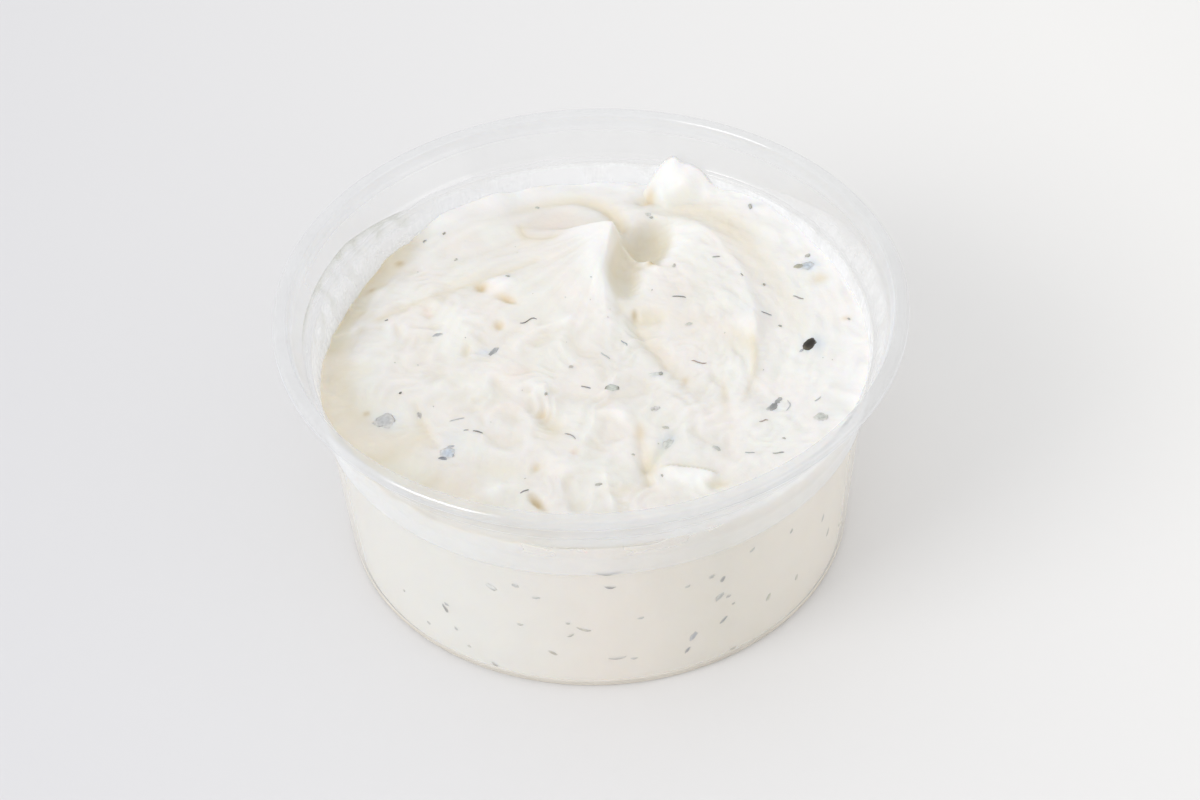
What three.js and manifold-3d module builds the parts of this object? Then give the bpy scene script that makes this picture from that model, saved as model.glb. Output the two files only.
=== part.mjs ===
// A round deli cup filled with tzatziki dip. Millimetres, +Z up, origin at the middle of the cup's base.
// The cup is one thin moulded wall with a rim bead, an inner ledge for the lid and a stacking step.
// The dip is one solid up to its swirled top, with the larger herb pieces fused on.
import * as THREE from 'three';
import { mergeVertices } from 'three/addons/utils/BufferGeometryUtils.js';
import Module from 'manifold-3d';

const wasm = await Module();
wasm.setup();

// ---- Cup sizes ----
const CUP_HEIGHT = 53;
const RIM_RADIUS = 58.5; // takes the common 117 mm lid
const RIM_BEAD_HEIGHT = 2.5;
const RIM_ROUND = 0.7;
const MOUTH_RADIUS = 55.9; // inner edge of the rim
const WALL = 0.8;
const FLOOR = 0.9;
const LEDGE_HEIGHT = 44.5; // the lid's plug stops here
const LEDGE_WIDTH = 0.8;
const LEDGE_FALL = 0.2;
const ABOVE_LEDGE_RADIUS = 53; // inside, just over the ledge
const STEP_HEIGHT = 32.8; // lower edge of the collar
const STEP_WIDTH = 0.7;
const STEP_FALL = 0.5;
const COLLAR_FOOT_RADIUS = 51.4;
const BASE_RADIUS = 48.2;
const BASE_ROUND = 1;
const CUP_SEGMENTS = 72;
const ROUND_STEPS = 2;

// ---- Dip sizes ----
const GAP = 0.35; // between the dip and the cup
const LEVEL = 39.6; // the dip's level where nothing lifts or hollows it
const GRID = 56; // cells across the top
const FINE_AT = [0.14, 0.42]; // where the cells are finest, as a share of the radius: the swirl
const FINE_SPREAD = 0.38;
const FINE_EXTRA = 1.2; // how much closer the lines are there
const WALL_REACH = 7; // how far in from the wall its pull on the surface shows
const FOOT_ROUND = 1.2;

// Where the dip climbs the wall or has slumped from it: direction and spread in degrees, rise in mm.
const CLIMBS = [
  { at: 160, spread: 30, rise: -3.9 },
  { at: 50, spread: 15, rise: 3.1 },
  { at: 15, spread: 26, rise: 1 },
  { at: 119, spread: 9, rise: 1 },
];

// Broad lumps and hollows: middle, half sizes across X and along Y, turn in degrees, height, and how flat the
// top is (1 is a bell, 3 is a plateau).
const LUMPS = [
  { at: [-5, 20], half: [20, 15], turn: 15, height: 1.5, flat: 1 }, // shoulder under the peak
  { at: [22, 29], half: [9, 10], turn: 20, height: 1.3, flat: 1.3 }, // right of the hollows
  { at: [10.9, 28.2], half: [4, 4.6], turn: -20, height: -5.6, flat: 2 }, // round hollow behind the peak
  { at: [5.9, 18.4], half: [2.7, 6.2], turn: 6, height: -5, flat: 1.8 }, // long hollow beside the peak
  { at: [11.8, 9.2], half: [2.4, 2], turn: 0, height: -0.9, flat: 1.5 },
  { at: [8.6, 8.8], half: [0.9, 1.5], turn: 0, height: -1.3, flat: 1.5 },
  { at: [-7.2, 37], half: [4.6, 4.6], turn: 0, height: -0.8, flat: 3 }, // shallow dish
  { at: [18.9, 50], half: [5.4, 7.2], turn: 0, height: 7, flat: 2.2 }, // dollop against the wall
  { at: [15.6, -35.8], half: [4.8, 3.2], turn: -8, height: 1.1, flat: 3 }, // flat flap at the front
  { at: [-24.8, 10.6], half: [4.2, 5], turn: 20, height: 1.2, flat: 1.5 },
  { at: [-17, 19.6], half: [3.4, 2.4], turn: -20, height: 1, flat: 1.6 },
  { at: [-21.2, 19.4], half: [1.2, 1.2], turn: 0, height: -1.3, flat: 1.4 },
  { at: [-16, 14.6], half: [1.7, 0.9], turn: -40, height: -0.9, flat: 1.4 },
  { at: [-17.4, 8], half: [1, 1.3], turn: 20, height: -0.9, flat: 1.4 },
  { at: [-30.8, 13.6], half: [1.3, 1.8], turn: 15, height: -0.7, flat: 1.4 },
  { at: [-12, -9.5], half: [4, 3], turn: 30, height: 0.7, flat: 1.3 },
  { at: [-8.2, -18], half: [2, 3.6], turn: 30, height: -0.9, flat: 1.3 },
  { at: [-11, -39], half: [1.6, 2.4], turn: 20, height: -1, flat: 1.4 },
];

// Ridges and grooves along a curve: its start, bend and end, the height at each end, and the half widths on
// its left and right, looking along it. Sharp is 2 for a round back and 1 for an edge.
const CRESTS = [
  // the peak where the spoon was lifted, with its steep side over the long hollow and a lip running left
  { path: [[4.8, 31.2], [1, 16], [5.4, -3]], heights: [4.4, 0.2], widths: [1.9, 12], cap: 1.8, sharp: 1.3 },
  { path: [[5.6, 31.6], [-1, 32.6], [-10, 26]], heights: [1.2, 0.5], widths: [5, 1.8], cap: 1.6, sharp: 1.5 },
  // thin web between the two hollows
  { path: [[6.6, 31], [8.6, 24.6], [12.4, 21]], heights: [1.5, 0.9], widths: [0.9, 0.9], cap: 1, sharp: 2 },
  // valley behind the peak
  { path: [[-15, 41], [-1, 50.5], [7.6, 36.4]], heights: [-0.7, -1.9], widths: [2.6, 2], cap: 2, sharp: 1.8 },
  // edge of the smoothed part on the left
  { path: [[-40, 14.5], [-24, 21], [-11, 24.5]], heights: [-0.5, -0.3], widths: [1.2, 1.6], cap: 2, sharp: 1.6 },
  // outer edge of the swirl on the right
  { path: [[18, 37], [35, 30], [32.8, 7]], heights: [0.9, 1.2], widths: [1.8, 8], cap: 5, sharp: 1.5 },
  { path: [[32.8, 7], [32.5, -8], [25, -19]], heights: [1.2, 0.3], widths: [1.7, 8], cap: 3, sharp: 1.5 },
  // tail of the long hollow
  { path: [[8.4, 8], [9.5, 2], [16.5, -9]], heights: [-1.2, -0.3], widths: [2.2, 1.5], cap: 2, sharp: 1.8 },
  // creases and a short ridge at the front
  { path: [[8, -22], [7.6, -28], [9, -35]], heights: [-0.5, -1], widths: [1.3, 1.3], cap: 1.5, sharp: 1.6 },
  { path: [[13.8, -23.5], [11.5, -28], [9.2, -31]], heights: [-0.6, -1], widths: [1.1, 1.1], cap: 1.5, sharp: 1.6 },
  { path: [[1.3, -32.6], [1.5, -36], [2.2, -40]], heights: [0.6, 0.8], widths: [0.9, 0.9], cap: 1, sharp: 2 },
  { path: [[22.6, -8.6], [25, -13], [24.6, -20]], heights: [-0.5, -0.2], widths: [0.9, 1.6], cap: 1.4, sharp: 1.6 },
];
const CREST_SAMPLES = 22;

// Small lumps of grated cucumber under the surface, over the part that the spoon hasn't smoothed.
const SMALL_LUMPS = 110;
const SMALL_LUMP_SIZE = [1.6, 3.6];
const SMALL_LUMP_HEIGHT = [-0.35, 0.5];
const SMOOTHED_AT = [-6, 34]; // middle of the smoothed part
const SMOOTHED_REACH = 24;
const SEED = 1184;

// Herb and pepper pieces that stand on the dip: middle, length, width and turn in degrees.
const FLAKE_THICK = 0.7;
const FLAKES = [
  { at: [40.3, 0.4], size: [3.4, 2], turn: 62 },
  { at: [-38.6, -16.2], size: [3.8, 3.2], turn: 20 },
  { at: [-26.8, -25.2], size: [3.8, 2.5], turn: 55 },
  { at: [-18, 1.9], size: [3, 1.2], turn: 55 },
  { at: [33, -17], size: [3.5, 2.9], turn: 30 },
  { at: [40.8, 21.8], size: [3, 1.6], turn: 5 },
  { at: [41.1, -20.8], size: [2.8, 1.6], turn: 0 },
  { at: [3.3, -10.1], size: [2.5, 1.1], turn: 4 },
  { at: [12.9, -25.2], size: [2.8, 1.3], turn: 65 },
  { at: [-29.1, 6.5], size: [1.9, 0.9], turn: 15 },
  { at: [11.6, -7], size: [1.9, 1], turn: 8 },
];
const STRAND_THICK = 0.5;
const STRANDS = [
  { at: [-11.8, 9.4], long: 2.9, turn: 13 },
  { at: [17.1, 14.7], long: 2.5, turn: -11 },
  { at: [24.7, 26.2], long: 1.6, turn: 9 },
  { at: [39.6, 12.7], long: 2.2, turn: -36 },
  { at: [33.1, 8.9], long: 2, turn: -31 },
  { at: [19.7, -4.4], long: 3, turn: -32 },
  { at: [-1.5, -10.2], long: 1.8, turn: -32 },
  { at: [-4.6, -23], long: 2.5, turn: -44 },
  { at: [-21.8, -20.3], long: 2.3, turn: -4 },
  { at: [-25.3, -17.2], long: 2.8, turn: 13 },
  { at: [30.5, -21], long: 1.8, turn: 22 },
  { at: [-13.4, -36.7], long: 1.8, turn: 33 },
];

const radians = THREE.MathUtils.degToRad;

// ---- Cup ----

// Points of a quarter round about a middle, from one angle to the other, in degrees.
function rounded(middleRadius, middleHeight, round, from, to) {
  const points = [];
  for (let i = 0; i <= ROUND_STEPS; i++) {
    const angle = radians(from + ((to - from) * i) / ROUND_STEPS);
    points.push(
      new THREE.Vector2(middleRadius + round * Math.cos(angle), middleHeight + round * Math.sin(angle)),
    );
  }
  return points;
}

const bodyTopRadius = COLLAR_FOOT_RADIUS - STEP_WIDTH;
const collarTopRadius = ABOVE_LEDGE_RADIUS - LEDGE_WIDTH;
const mouthSlope = (MOUTH_RADIUS - ABOVE_LEDGE_RADIUS) / (CUP_HEIGHT - RIM_ROUND - LEDGE_HEIGHT);
const beadFoot = CUP_HEIGHT - RIM_BEAD_HEIGHT;
const radiusUnderBead = ABOVE_LEDGE_RADIUS + mouthSlope * (beadFoot - LEDGE_HEIGHT) + WALL;

// Inside of the wall from the floor to the mouth.
const insideWall = [
  new THREE.Vector2(BASE_RADIUS - WALL - FOOT_ROUND, FLOOR),
  new THREE.Vector2(BASE_RADIUS - WALL, FLOOR + FOOT_ROUND),
  new THREE.Vector2(bodyTopRadius - WALL, STEP_HEIGHT),
  new THREE.Vector2(COLLAR_FOOT_RADIUS - WALL, STEP_HEIGHT + STEP_FALL),
  new THREE.Vector2(collarTopRadius, LEDGE_HEIGHT - LEDGE_FALL),
  new THREE.Vector2(ABOVE_LEDGE_RADIUS, LEDGE_HEIGHT),
  new THREE.Vector2(MOUTH_RADIUS, CUP_HEIGHT - RIM_ROUND),
];

// Outside of the wall from the middle of the base, up and over the rim bead.
const outsideWall = [
  new THREE.Vector2(0, 0),
  ...rounded(BASE_RADIUS - BASE_ROUND, BASE_ROUND, BASE_ROUND, -90, 0),
  new THREE.Vector2(bodyTopRadius, STEP_HEIGHT - STEP_FALL),
  new THREE.Vector2(COLLAR_FOOT_RADIUS, STEP_HEIGHT),
  new THREE.Vector2(collarTopRadius + WALL, LEDGE_HEIGHT - LEDGE_FALL - WALL),
  new THREE.Vector2(ABOVE_LEDGE_RADIUS + WALL, LEDGE_HEIGHT - LEDGE_FALL),
  new THREE.Vector2(radiusUnderBead, beadFoot),
  ...rounded(RIM_RADIUS - RIM_ROUND, beadFoot + RIM_ROUND, RIM_ROUND, -90, 0),
  ...rounded(RIM_RADIUS - RIM_ROUND, CUP_HEIGHT - RIM_ROUND, RIM_ROUND, 0, 90),
  ...rounded(MOUTH_RADIUS + RIM_ROUND, CUP_HEIGHT - RIM_ROUND, RIM_ROUND, 90, 150),
];

function cupGeometry() {
  const floorMiddle = new THREE.Vector2(0, FLOOR);
  const profile = [...outsideWall, ...[...insideWall].reverse(), floorMiddle];
  return new THREE.LatheGeometry(profile, CUP_SEGMENTS).rotateX(Math.PI / 2);
}

// ---- Dip ----

// Radius of the dip's side at a height: the inside of the wall, less the gap.
function sideRadius(height) {
  const wanted = height - GAP;
  for (let i = 1; i < insideWall.length; i++) {
    const low = insideWall[i - 1];
    const high = insideWall[i];
    if (wanted <= high.y) {
      return THREE.MathUtils.mapLinear(wanted, low.y, high.y, low.x, high.x) - GAP;
    }
  }
  return MOUTH_RADIUS - GAP;
}

// The same run of numbers from 0 to 1 each time.
function numbersFrom(seed) {
  let state = seed;
  return () => {
    state = (state * 1664525 + 1013904223) % 4294967296;
    return state / 4294967296;
  };
}

function smallLumps() {
  const next = numbersFrom(SEED);
  const lumps = [];
  while (lumps.length < SMALL_LUMPS) {
    const reach = 48 * Math.sqrt(next());
    const angle = 2 * Math.PI * next();
    const at = [reach * Math.cos(angle), reach * Math.sin(angle)];
    const wide = THREE.MathUtils.lerp(...SMALL_LUMP_SIZE, next());
    const long = wide * (1 + 0.5 * next());
    const turn = 180 * next();
    const height = THREE.MathUtils.lerp(...SMALL_LUMP_HEIGHT, next());
    const fromSmoothed = Math.hypot(at[0] - SMOOTHED_AT[0], at[1] - SMOOTHED_AT[1]);
    if (fromSmoothed > SMOOTHED_REACH) lumps.push({ at, half: [wide, long], turn, height, flat: 1.2 });
  }
  return lumps;
}

function lumpHeight(x, y, lump) {
  const turn = radians(lump.turn);
  const dx = x - lump.at[0];
  const dy = y - lump.at[1];
  const across = (dx * Math.cos(turn) + dy * Math.sin(turn)) / lump.half[0];
  const along = (dy * Math.cos(turn) - dx * Math.sin(turn)) / lump.half[1];
  return lump.height * Math.exp(-((across * across + along * along) ** lump.flat));
}

// A crest's curve as points and directions, so that the nearest one can be found for any place.
function crestPoints(crest) {
  const curve = new THREE.QuadraticBezierCurve(...crest.path.map((p) => new THREE.Vector2(...p)));
  const points = curve.getSpacedPoints(CREST_SAMPLES);
  return { ...crest, points };
}

// Beyond either end a crest keeps its width and fades over its cap.
function crestHeight(x, y, crest) {
  let nearest = Infinity;
  let here = {};
  for (let i = 1; i <= CREST_SAMPLES; i++) {
    const a = crest.points[i - 1];
    const b = crest.points[i];
    const length = a.distanceTo(b);
    const run = [(b.x - a.x) / length, (b.y - a.y) / length];
    const along = (x - a.x) * run[0] + (y - a.y) * run[1];
    const onto = THREE.MathUtils.clamp(along, 0, length);
    const distance = Math.hypot(x - a.x - onto * run[0], y - a.y - onto * run[1]);
    if (distance < nearest) {
      nearest = distance;
      const over = i === 1 ? Math.max(0, -along) : i === CREST_SAMPLES ? Math.max(0, along - length) : 0;
      const side = run[0] * (y - a.y) - run[1] * (x - a.x);
      here = { over, side, share: (i - 1 + onto / length) / CREST_SAMPLES };
    }
  }
  const across = Math.sqrt(Math.max(0, nearest ** 2 - here.over ** 2));
  const width = here.side > 0 ? crest.widths[0] : crest.widths[1];
  const height = THREE.MathUtils.lerp(...crest.heights, here.share);
  return height * Math.exp(-((across / width) ** crest.sharp) - (here.over / crest.cap) ** 2);
}

const crests = CRESTS.map(crestPoints);
const lumps = [...LUMPS, ...smallLumps()];

function climbAt(x, y) {
  const direction = THREE.MathUtils.radToDeg(Math.atan2(y, x));
  let rise = 0;
  for (const climb of CLIMBS) {
    const off = THREE.MathUtils.euclideanModulo(direction - climb.at + 180, 360) - 180;
    rise += climb.rise * Math.exp(-((off / climb.spread) ** 2));
  }
  return rise;
}

// Height of the dip's top at a place.
function topHeight(x, y) {
  const fromWall = Math.max(0, sideRadius(LEVEL) - Math.hypot(x, y));
  let height = LEVEL + climbAt(x, y) * Math.exp(-((fromWall / WALL_REACH) ** 1.4));
  for (const lump of lumps) height += lumpHeight(x, y, lump);
  for (const crest of crests) height += crestHeight(x, y, crest);
  return height;
}

// Grid lines from -1 to 1, closer together near one value.
function gradedLines(finest) {
  const sums = [0];
  const slices = 400;
  for (let i = 0; i < slices; i++) {
    const value = -1 + (2 * (i + 0.5)) / slices;
    sums.push(sums[i] + 1 + FINE_EXTRA * Math.exp(-(((value - finest) / FINE_SPREAD) ** 2)));
  }
  const lines = [];
  for (let i = 0; i <= GRID; i++) {
    const wanted = (sums[slices] * i) / GRID;
    const slice = Math.min(slices - 1, Math.max(0, sums.findIndex((sum) => sum > wanted) - 1));
    const part = (wanted - sums[slice]) / (sums[slice + 1] - sums[slice]);
    lines.push(i === GRID ? 1 : -1 + (2 * (slice + part)) / slices);
  }
  return lines;
}

// A place in the square from -1 to 1, moved to the round: its share of the radius and its angle.
function squareToRound(u, v) {
  if (u === 0 && v === 0) return [0, 0];
  if (Math.abs(u) >= Math.abs(v)) return [u, (Math.PI / 4) * (v / u)];
  return [v, Math.PI / 2 - (Math.PI / 4) * (u / v)];
}

// The dip's side in one direction: from the edge of its top, which stays under the ledge, down to its foot.
function sideFrom(angle) {
  const [ax, ay] = [Math.cos(angle), Math.sin(angle)];
  const radius = sideRadius(LEVEL);
  const top = Math.min(topHeight(radius * ax, radius * ay), LEDGE_HEIGHT - LEDGE_FALL);
  const heights = [
    top,
    STEP_HEIGHT + STEP_FALL + GAP,
    STEP_HEIGHT + GAP,
    FLOOR + FOOT_ROUND + GAP,
    FLOOR + GAP,
  ];
  return heights.map((height) => new THREE.Vector3(sideRadius(height) * ax, sideRadius(height) * ay, height));
}

function dipGeometry() {
  const positions = [];
  const faces = [];
  const add = (point) => positions.push(point.x, point.y, point.z) / 3 - 1;
  const quad = (a, b, c, d) => faces.push(a, b, c, a, c, d);

  const [lines, rows] = FINE_AT.map(gradedLines);
  const top = lines.map((u) => rows.map((v) => {
    const [share, angle] = squareToRound(u, v);
    const rim = sideFrom(share < 0 ? angle + Math.PI : angle)[0];
    const onRim = Math.max(Math.abs(u), Math.abs(v)) === 1;
    if (onRim) return add(rim);
    const [x, y] = [Math.abs(share) * rim.x, Math.abs(share) * rim.y];
    return add(new THREE.Vector3(x, y, topHeight(x, y)));
  }));
  for (let i = 0; i < GRID; i++) {
    for (let j = 0; j < GRID; j++) quad(top[i][j], top[i + 1][j], top[i + 1][j + 1], top[i][j + 1]);
  }

  // Once round the edge of the top, anticlockwise from above, then the side in rings down to the foot.
  const loop = [];
  for (let i = 0; i < GRID; i++) loop.push(top[i][0]);
  for (let j = 0; j < GRID; j++) loop.push(top[GRID][j]);
  for (let i = GRID; i > 0; i--) loop.push(top[i][GRID]);
  for (let j = GRID; j > 0; j--) loop.push(top[0][j]);
  const sides = loop.map((i) => sideFrom(Math.atan2(positions[3 * i + 1], positions[3 * i])));
  let ring = loop;
  for (let level = 1; level < sides[0].length; level++) {
    const lower = sides.map((side) => add(side[level]));
    for (let i = 0; i < ring.length; i++) {
      const next = (i + 1) % ring.length;
      quad(ring[i], lower[i], lower[next], ring[next]);
    }
    ring = lower;
  }
  const middle = add(new THREE.Vector3(0, 0, FLOOR + GAP));
  for (let i = 0; i < ring.length; i++) faces.push(ring[i], middle, ring[(i + 1) % ring.length]);

  const geometry = new THREE.BufferGeometry();
  geometry.setAttribute('position', new THREE.Float32BufferAttribute(positions, 3));
  geometry.setIndex(faces);
  return geometry;
}

// ---- Joining the herb pieces to the dip ----

function solidOf(geometry) {
  const plain = geometry.clone();
  plain.deleteAttribute('normal');
  plain.deleteAttribute('uv');
  const merged = mergeVertices(plain, 1e-4);
  return new wasm.Manifold(new wasm.Mesh({
    numProp: 3,
    vertProperties: new Float32Array(merged.attributes.position.array),
    triVerts: new Uint32Array(merged.index.array),
  }));
}

function geometryOf(solid) {
  const mesh = solid.getMesh();
  const geometry = new THREE.BufferGeometry();
  geometry.setAttribute('position', new THREE.BufferAttribute(mesh.vertProperties, 3));
  geometry.setIndex(new THREE.BufferAttribute(mesh.triVerts, 1));
  geometry.computeVertexNormals();
  return geometry;
}

// Lays a piece on the dip at its place, turned and tipped to the slope, half sunk.
function laid(geometry, piece) {
  const [x, y] = piece.at;
  const reach = 1.2;
  const [west, east] = [topHeight(x - reach, y), topHeight(x + reach, y)];
  const [south, north] = [topHeight(x, y - reach), topHeight(x, y + reach)];
  const out = new THREE.Vector3((west - east) / (2 * reach), (south - north) / (2 * reach), 1).normalize();
  const tip = new THREE.Quaternion().setFromUnitVectors(new THREE.Vector3(0, 0, 1), out);
  const height = Math.min(topHeight(x, y), (west + east) / 2, (south + north) / 2);
  return geometry
    .rotateZ(radians(piece.turn))
    .applyQuaternion(tip)
    .translate(x, y, height);
}

function flake(piece) {
  const [long, wide] = piece.size;
  const shape = new THREE.CylinderGeometry(0.4, 0.5, 1, 7).rotateX(Math.PI / 2);
  return laid(shape.scale(long, wide, FLAKE_THICK), piece);
}

function strand(piece) {
  return laid(new THREE.BoxGeometry(piece.long, STRAND_THICK, STRAND_THICK), piece);
}

function dipWithHerbs() {
  let dip = solidOf(dipGeometry());
  for (const piece of FLAKES) dip = dip.add(solidOf(flake(piece)));
  for (const piece of STRANDS) dip = dip.add(solidOf(strand(piece)));
  return geometryOf(dip);
}

// ---- The whole ----

const cupPlastic = new THREE.MeshStandardMaterial({
  color: 0xeef1f2,
  roughness: 0.25,
  metalness: 0,
  transparent: true,
  opacity: 0.4,
});
const creamyDip = new THREE.MeshStandardMaterial({ color: 0xf4f0e6, roughness: 0.45, metalness: 0 });

const cup = new THREE.Mesh(cupGeometry(), cupPlastic);
cup.name = 'cup';
const dip = new THREE.Mesh(dipWithHerbs(), creamyDip);
dip.name = 'dip';

const tzatziki = new THREE.Group();
tzatziki.add(cup, dip);

export default tzatziki;
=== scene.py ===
import math
import random

import bmesh
import bpy
import numpy as np
from mathutils import Matrix, Vector, noise


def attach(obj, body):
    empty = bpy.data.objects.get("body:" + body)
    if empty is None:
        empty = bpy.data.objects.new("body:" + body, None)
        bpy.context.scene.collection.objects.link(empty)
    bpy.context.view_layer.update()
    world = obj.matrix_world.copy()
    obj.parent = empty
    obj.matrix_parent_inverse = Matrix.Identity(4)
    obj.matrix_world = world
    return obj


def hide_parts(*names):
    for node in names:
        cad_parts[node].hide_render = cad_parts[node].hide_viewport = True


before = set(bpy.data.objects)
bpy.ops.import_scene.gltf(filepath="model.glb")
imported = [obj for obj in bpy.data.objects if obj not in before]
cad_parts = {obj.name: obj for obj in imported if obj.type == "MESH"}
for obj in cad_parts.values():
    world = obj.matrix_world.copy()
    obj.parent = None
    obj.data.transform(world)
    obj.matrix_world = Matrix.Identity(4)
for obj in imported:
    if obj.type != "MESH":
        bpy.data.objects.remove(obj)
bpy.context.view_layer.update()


# ---- Cup ----
# Thin polypropylene cup, injection moulded in one piece, milky and translucent.
# A bead stiffens the rim, a ledge inside stops the lid, and the step lets empty cups stack without jamming.
MM = 0.001
CUP_PROFILE = [  # radius and height: from under the base, up the outside, over the rim and down the inside
    (0, 0.3), (42.6, 0.3), (43.2, 0), (48.2, 0), (50.7, 32.3), (51.4, 32.8), (53, 43.5), (53.8, 44.3),
    (56.03, 50.5), (58.5, 50.5), (58.5, 53), (55.9, 53), (55.9, 52.3), (53, 44.5), (52.2, 44.3),
    (50.6, 33.3), (49.9, 32.8), (47.4, 0.9), (0, 0.9),
]
CUP_ROUNDS = {  # place in the profile: how far the edge is rounded back, and in how many steps
    3: (1, 5), 4: (0.3, 2), 5: (0.25, 2), 6: (0.3, 2), 7: (0.25, 2), 8: (0.25, 2), 9: (0.9, 6), 10: (0.9, 6),
    11: (0.6, 5), 13: (0.12, 2), 14: (0.12, 2), 15: (0.2, 2), 16: (0.2, 2), 17: (1.2, 5),
}
# stretches of the profile that stay flat between their rounds, and how far in from their ends that begins
FLATS = [(3, 4), (5, 6), (7, 8), (9, 10), (10, 11), (12, 13), (14, 15), (16, 17)]
FLAT_MARGIN = 1.3
CUP_STEPS = 192
SAME_PLACE = 0.01  # distance within which two points are one


def finish_named(name, **sockets):
    """A material of one Principled shader, with the values that are the same all over."""
    material = bpy.data.materials.new(name)
    material.use_nodes = True
    shader = material.node_tree.nodes["Principled BSDF"]
    for socket, value in sockets.items():
        shader.inputs[socket.replace("_", " ")].default_value = value
    return material, shader


def put(verts, *places):
    """Moves points to places given in mm: their x values, y values and z values."""
    for vert, where in zip(verts, zip(*places)):
        vert.co = Vector(where) * MM


def add_node(material, kind, inputs=None, **settings):
    """A node with its settings and inputs; an input is a plain value or another node's output."""
    made = material.node_tree.nodes.new("ShaderNode" + kind)
    for name, value in settings.items():
        setattr(made, name, value)
    for name, value in (inputs or {}).items():
        if isinstance(value, bpy.types.NodeSocket):
            material.node_tree.links.new(value, made.inputs[name])
        else:
            made.inputs[name].default_value = value
    return made


def ramp(material, factor, stops):
    """Colours or greys run along a value."""
    made = add_node(material, "ValToRGB", {"Fac": factor})
    elements = made.color_ramp.elements
    while len(elements) < len(stops):
        elements.new(0.5)
    for element, (place, colour) in zip(elements, stops):
        element.position = place
        element.color = (colour,) * 3 + (1,) if isinstance(colour, (int, float)) else (*colour, 1)
    return made.outputs["Color"]


def link(material, output, socket):
    material.node_tree.links.new(output, socket)


def object_place(material):
    """Where each point of the piece is, in metres."""
    return add_node(material, "TexCoord").outputs["Object"]


def stretched_up(material, place, share):
    """The place with its height scaled by a share, so that what is drawn on it runs up and down."""
    return add_node(material, "Mapping", {"Vector": place, "Scale": (1, 1, share)}).outputs["Vector"]


def clouds(material, place, scale, detail, rough=0.5):
    """A soft random value from 0 to 1 at each place."""
    inputs = {"Vector": place, "Scale": scale, "Detail": detail, "Roughness": rough}
    return add_node(material, "TexNoise", inputs).outputs["Fac"]


def calculated(material, operation, first, second):
    return add_node(material, "Math", {0: first, 1: second}, operation=operation).outputs["Value"]


def ranged(material, value, taken=(0, 1), given=(0, 1)):
    """A value moved from one range to another and kept inside it."""
    ends = zip(("From Min", "From Max", "To Min", "To Max"), (*taken, *given))
    return add_node(material, "MapRange", {"Value": value, **dict(ends)}).outputs["Result"]


def multiplied(material, colour, tint):
    inputs = {0: 1.0, 6: colour, 7: tint}
    return add_node(material, "Mix", inputs, data_type="RGBA", blend_type="MULTIPLY").outputs[2]


def relief(material, height, strength, depth):
    """The surface's direction with fine relief worked into it."""
    inputs = {"Strength": strength, "Distance": depth * MM, "Height": height}
    return add_node(material, "Bump", inputs).outputs["Normal"]


def mixed_surface(material, share, first, second):
    """Two surfaces in one: the first where the share is 0 and the second where it is 1."""
    return add_node(material, "MixShader", {"Fac": share, 1: first.outputs[0], 2: second.outputs[0]})


def wear(material, surface):
    link(material, surface.outputs[0], material.node_tree.nodes["Material Output"].inputs["Surface"])


def as_object(name, mesh_maker, material):
    """Turns a finished bmesh into a piece with a smooth surface."""
    mesh = bpy.data.meshes.new(name)
    mesh_maker.to_mesh(mesh)
    mesh_maker.free()
    mesh.shade_smooth()
    mesh.materials.append(material)
    piece = bpy.data.objects.new(name, mesh)
    bpy.context.scene.collection.objects.link(piece)
    return piece


def turned(profile, steps):
    """A profile of (radius, height) spun once round the upright axis."""
    maker = bmesh.new()
    points = [maker.verts.new((radius * MM, 0, height * MM)) for radius, height in profile]
    for lower, upper in zip(points, points[1:]):
        maker.edges.new((lower, upper))
    bmesh.ops.spin(
        maker, geom=maker.verts[:] + maker.edges[:], cent=(0, 0, 0), axis=(0, 0, 1), angle=math.tau,
        steps=steps, use_merge=True,
    )
    bmesh.ops.remove_doubles(maker, verts=maker.verts, dist=SAME_PLACE * MM)
    bmesh.ops.recalc_face_normals(maker, faces=maker.faces)
    return maker


def ring_at(maker, radius, height):
    """The edges that run round at one radius and height."""
    def on_ring(vert):
        off = (math.hypot(*vert.co.xy) - radius * MM, vert.co.z - height * MM)
        return max(map(abs, off)) < 2 * SAME_PLACE * MM
    return [edge for edge in maker.edges if all(map(on_ring, edge.verts))]


def with_flats(profile):
    """The profile with a point a little inside each end of a flat stretch, which keeps the shading off it."""
    points = []
    for place, point in enumerate(profile):
        points.append(point)
        if (place, place + 1) in FLATS:
            start, end = Vector(point), Vector(profile[place + 1])
            near = min(FLAT_MARGIN, 0.45 * (end - start).length) * (end - start).normalized()
            points += [tuple(start + near), tuple(end - near)]
    return points


cup_maker = turned(with_flats(CUP_PROFILE), CUP_STEPS)
for place, (back, steps) in CUP_ROUNDS.items():
    bmesh.ops.bevel(
        cup_maker, geom=ring_at(cup_maker, *CUP_PROFILE[place]), offset=back * MM, affect="EDGES",
        segments=steps, profile=0.5, material=-1, clamp_overlap=True,
    )

# height, and how cloudy the plastic looks there: clearer where the dip wets it, and thick in the bead
HAZINESS = [
    (0, 0.06), (0.1, 0.15), (0.25, 0.7), (1.7, 0.7), (2.3, 0.15), (31.8, 0.15), (33.2, 0.4), (37, 0.4),
    (38.2, 0.32), (41, 0.29), (43, 0.38), (45, 0.29), (49.8, 0.29), (50.7, 0.44), (53, 0.38),
]
# height, and how much of its light comes through from the far side
LIT_THROUGH = [(0, 0.4), (1.2, 0.4), (2, 0.08), (38.5, 0.08), (41, 0.5), (53, 0.5)]
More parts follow.
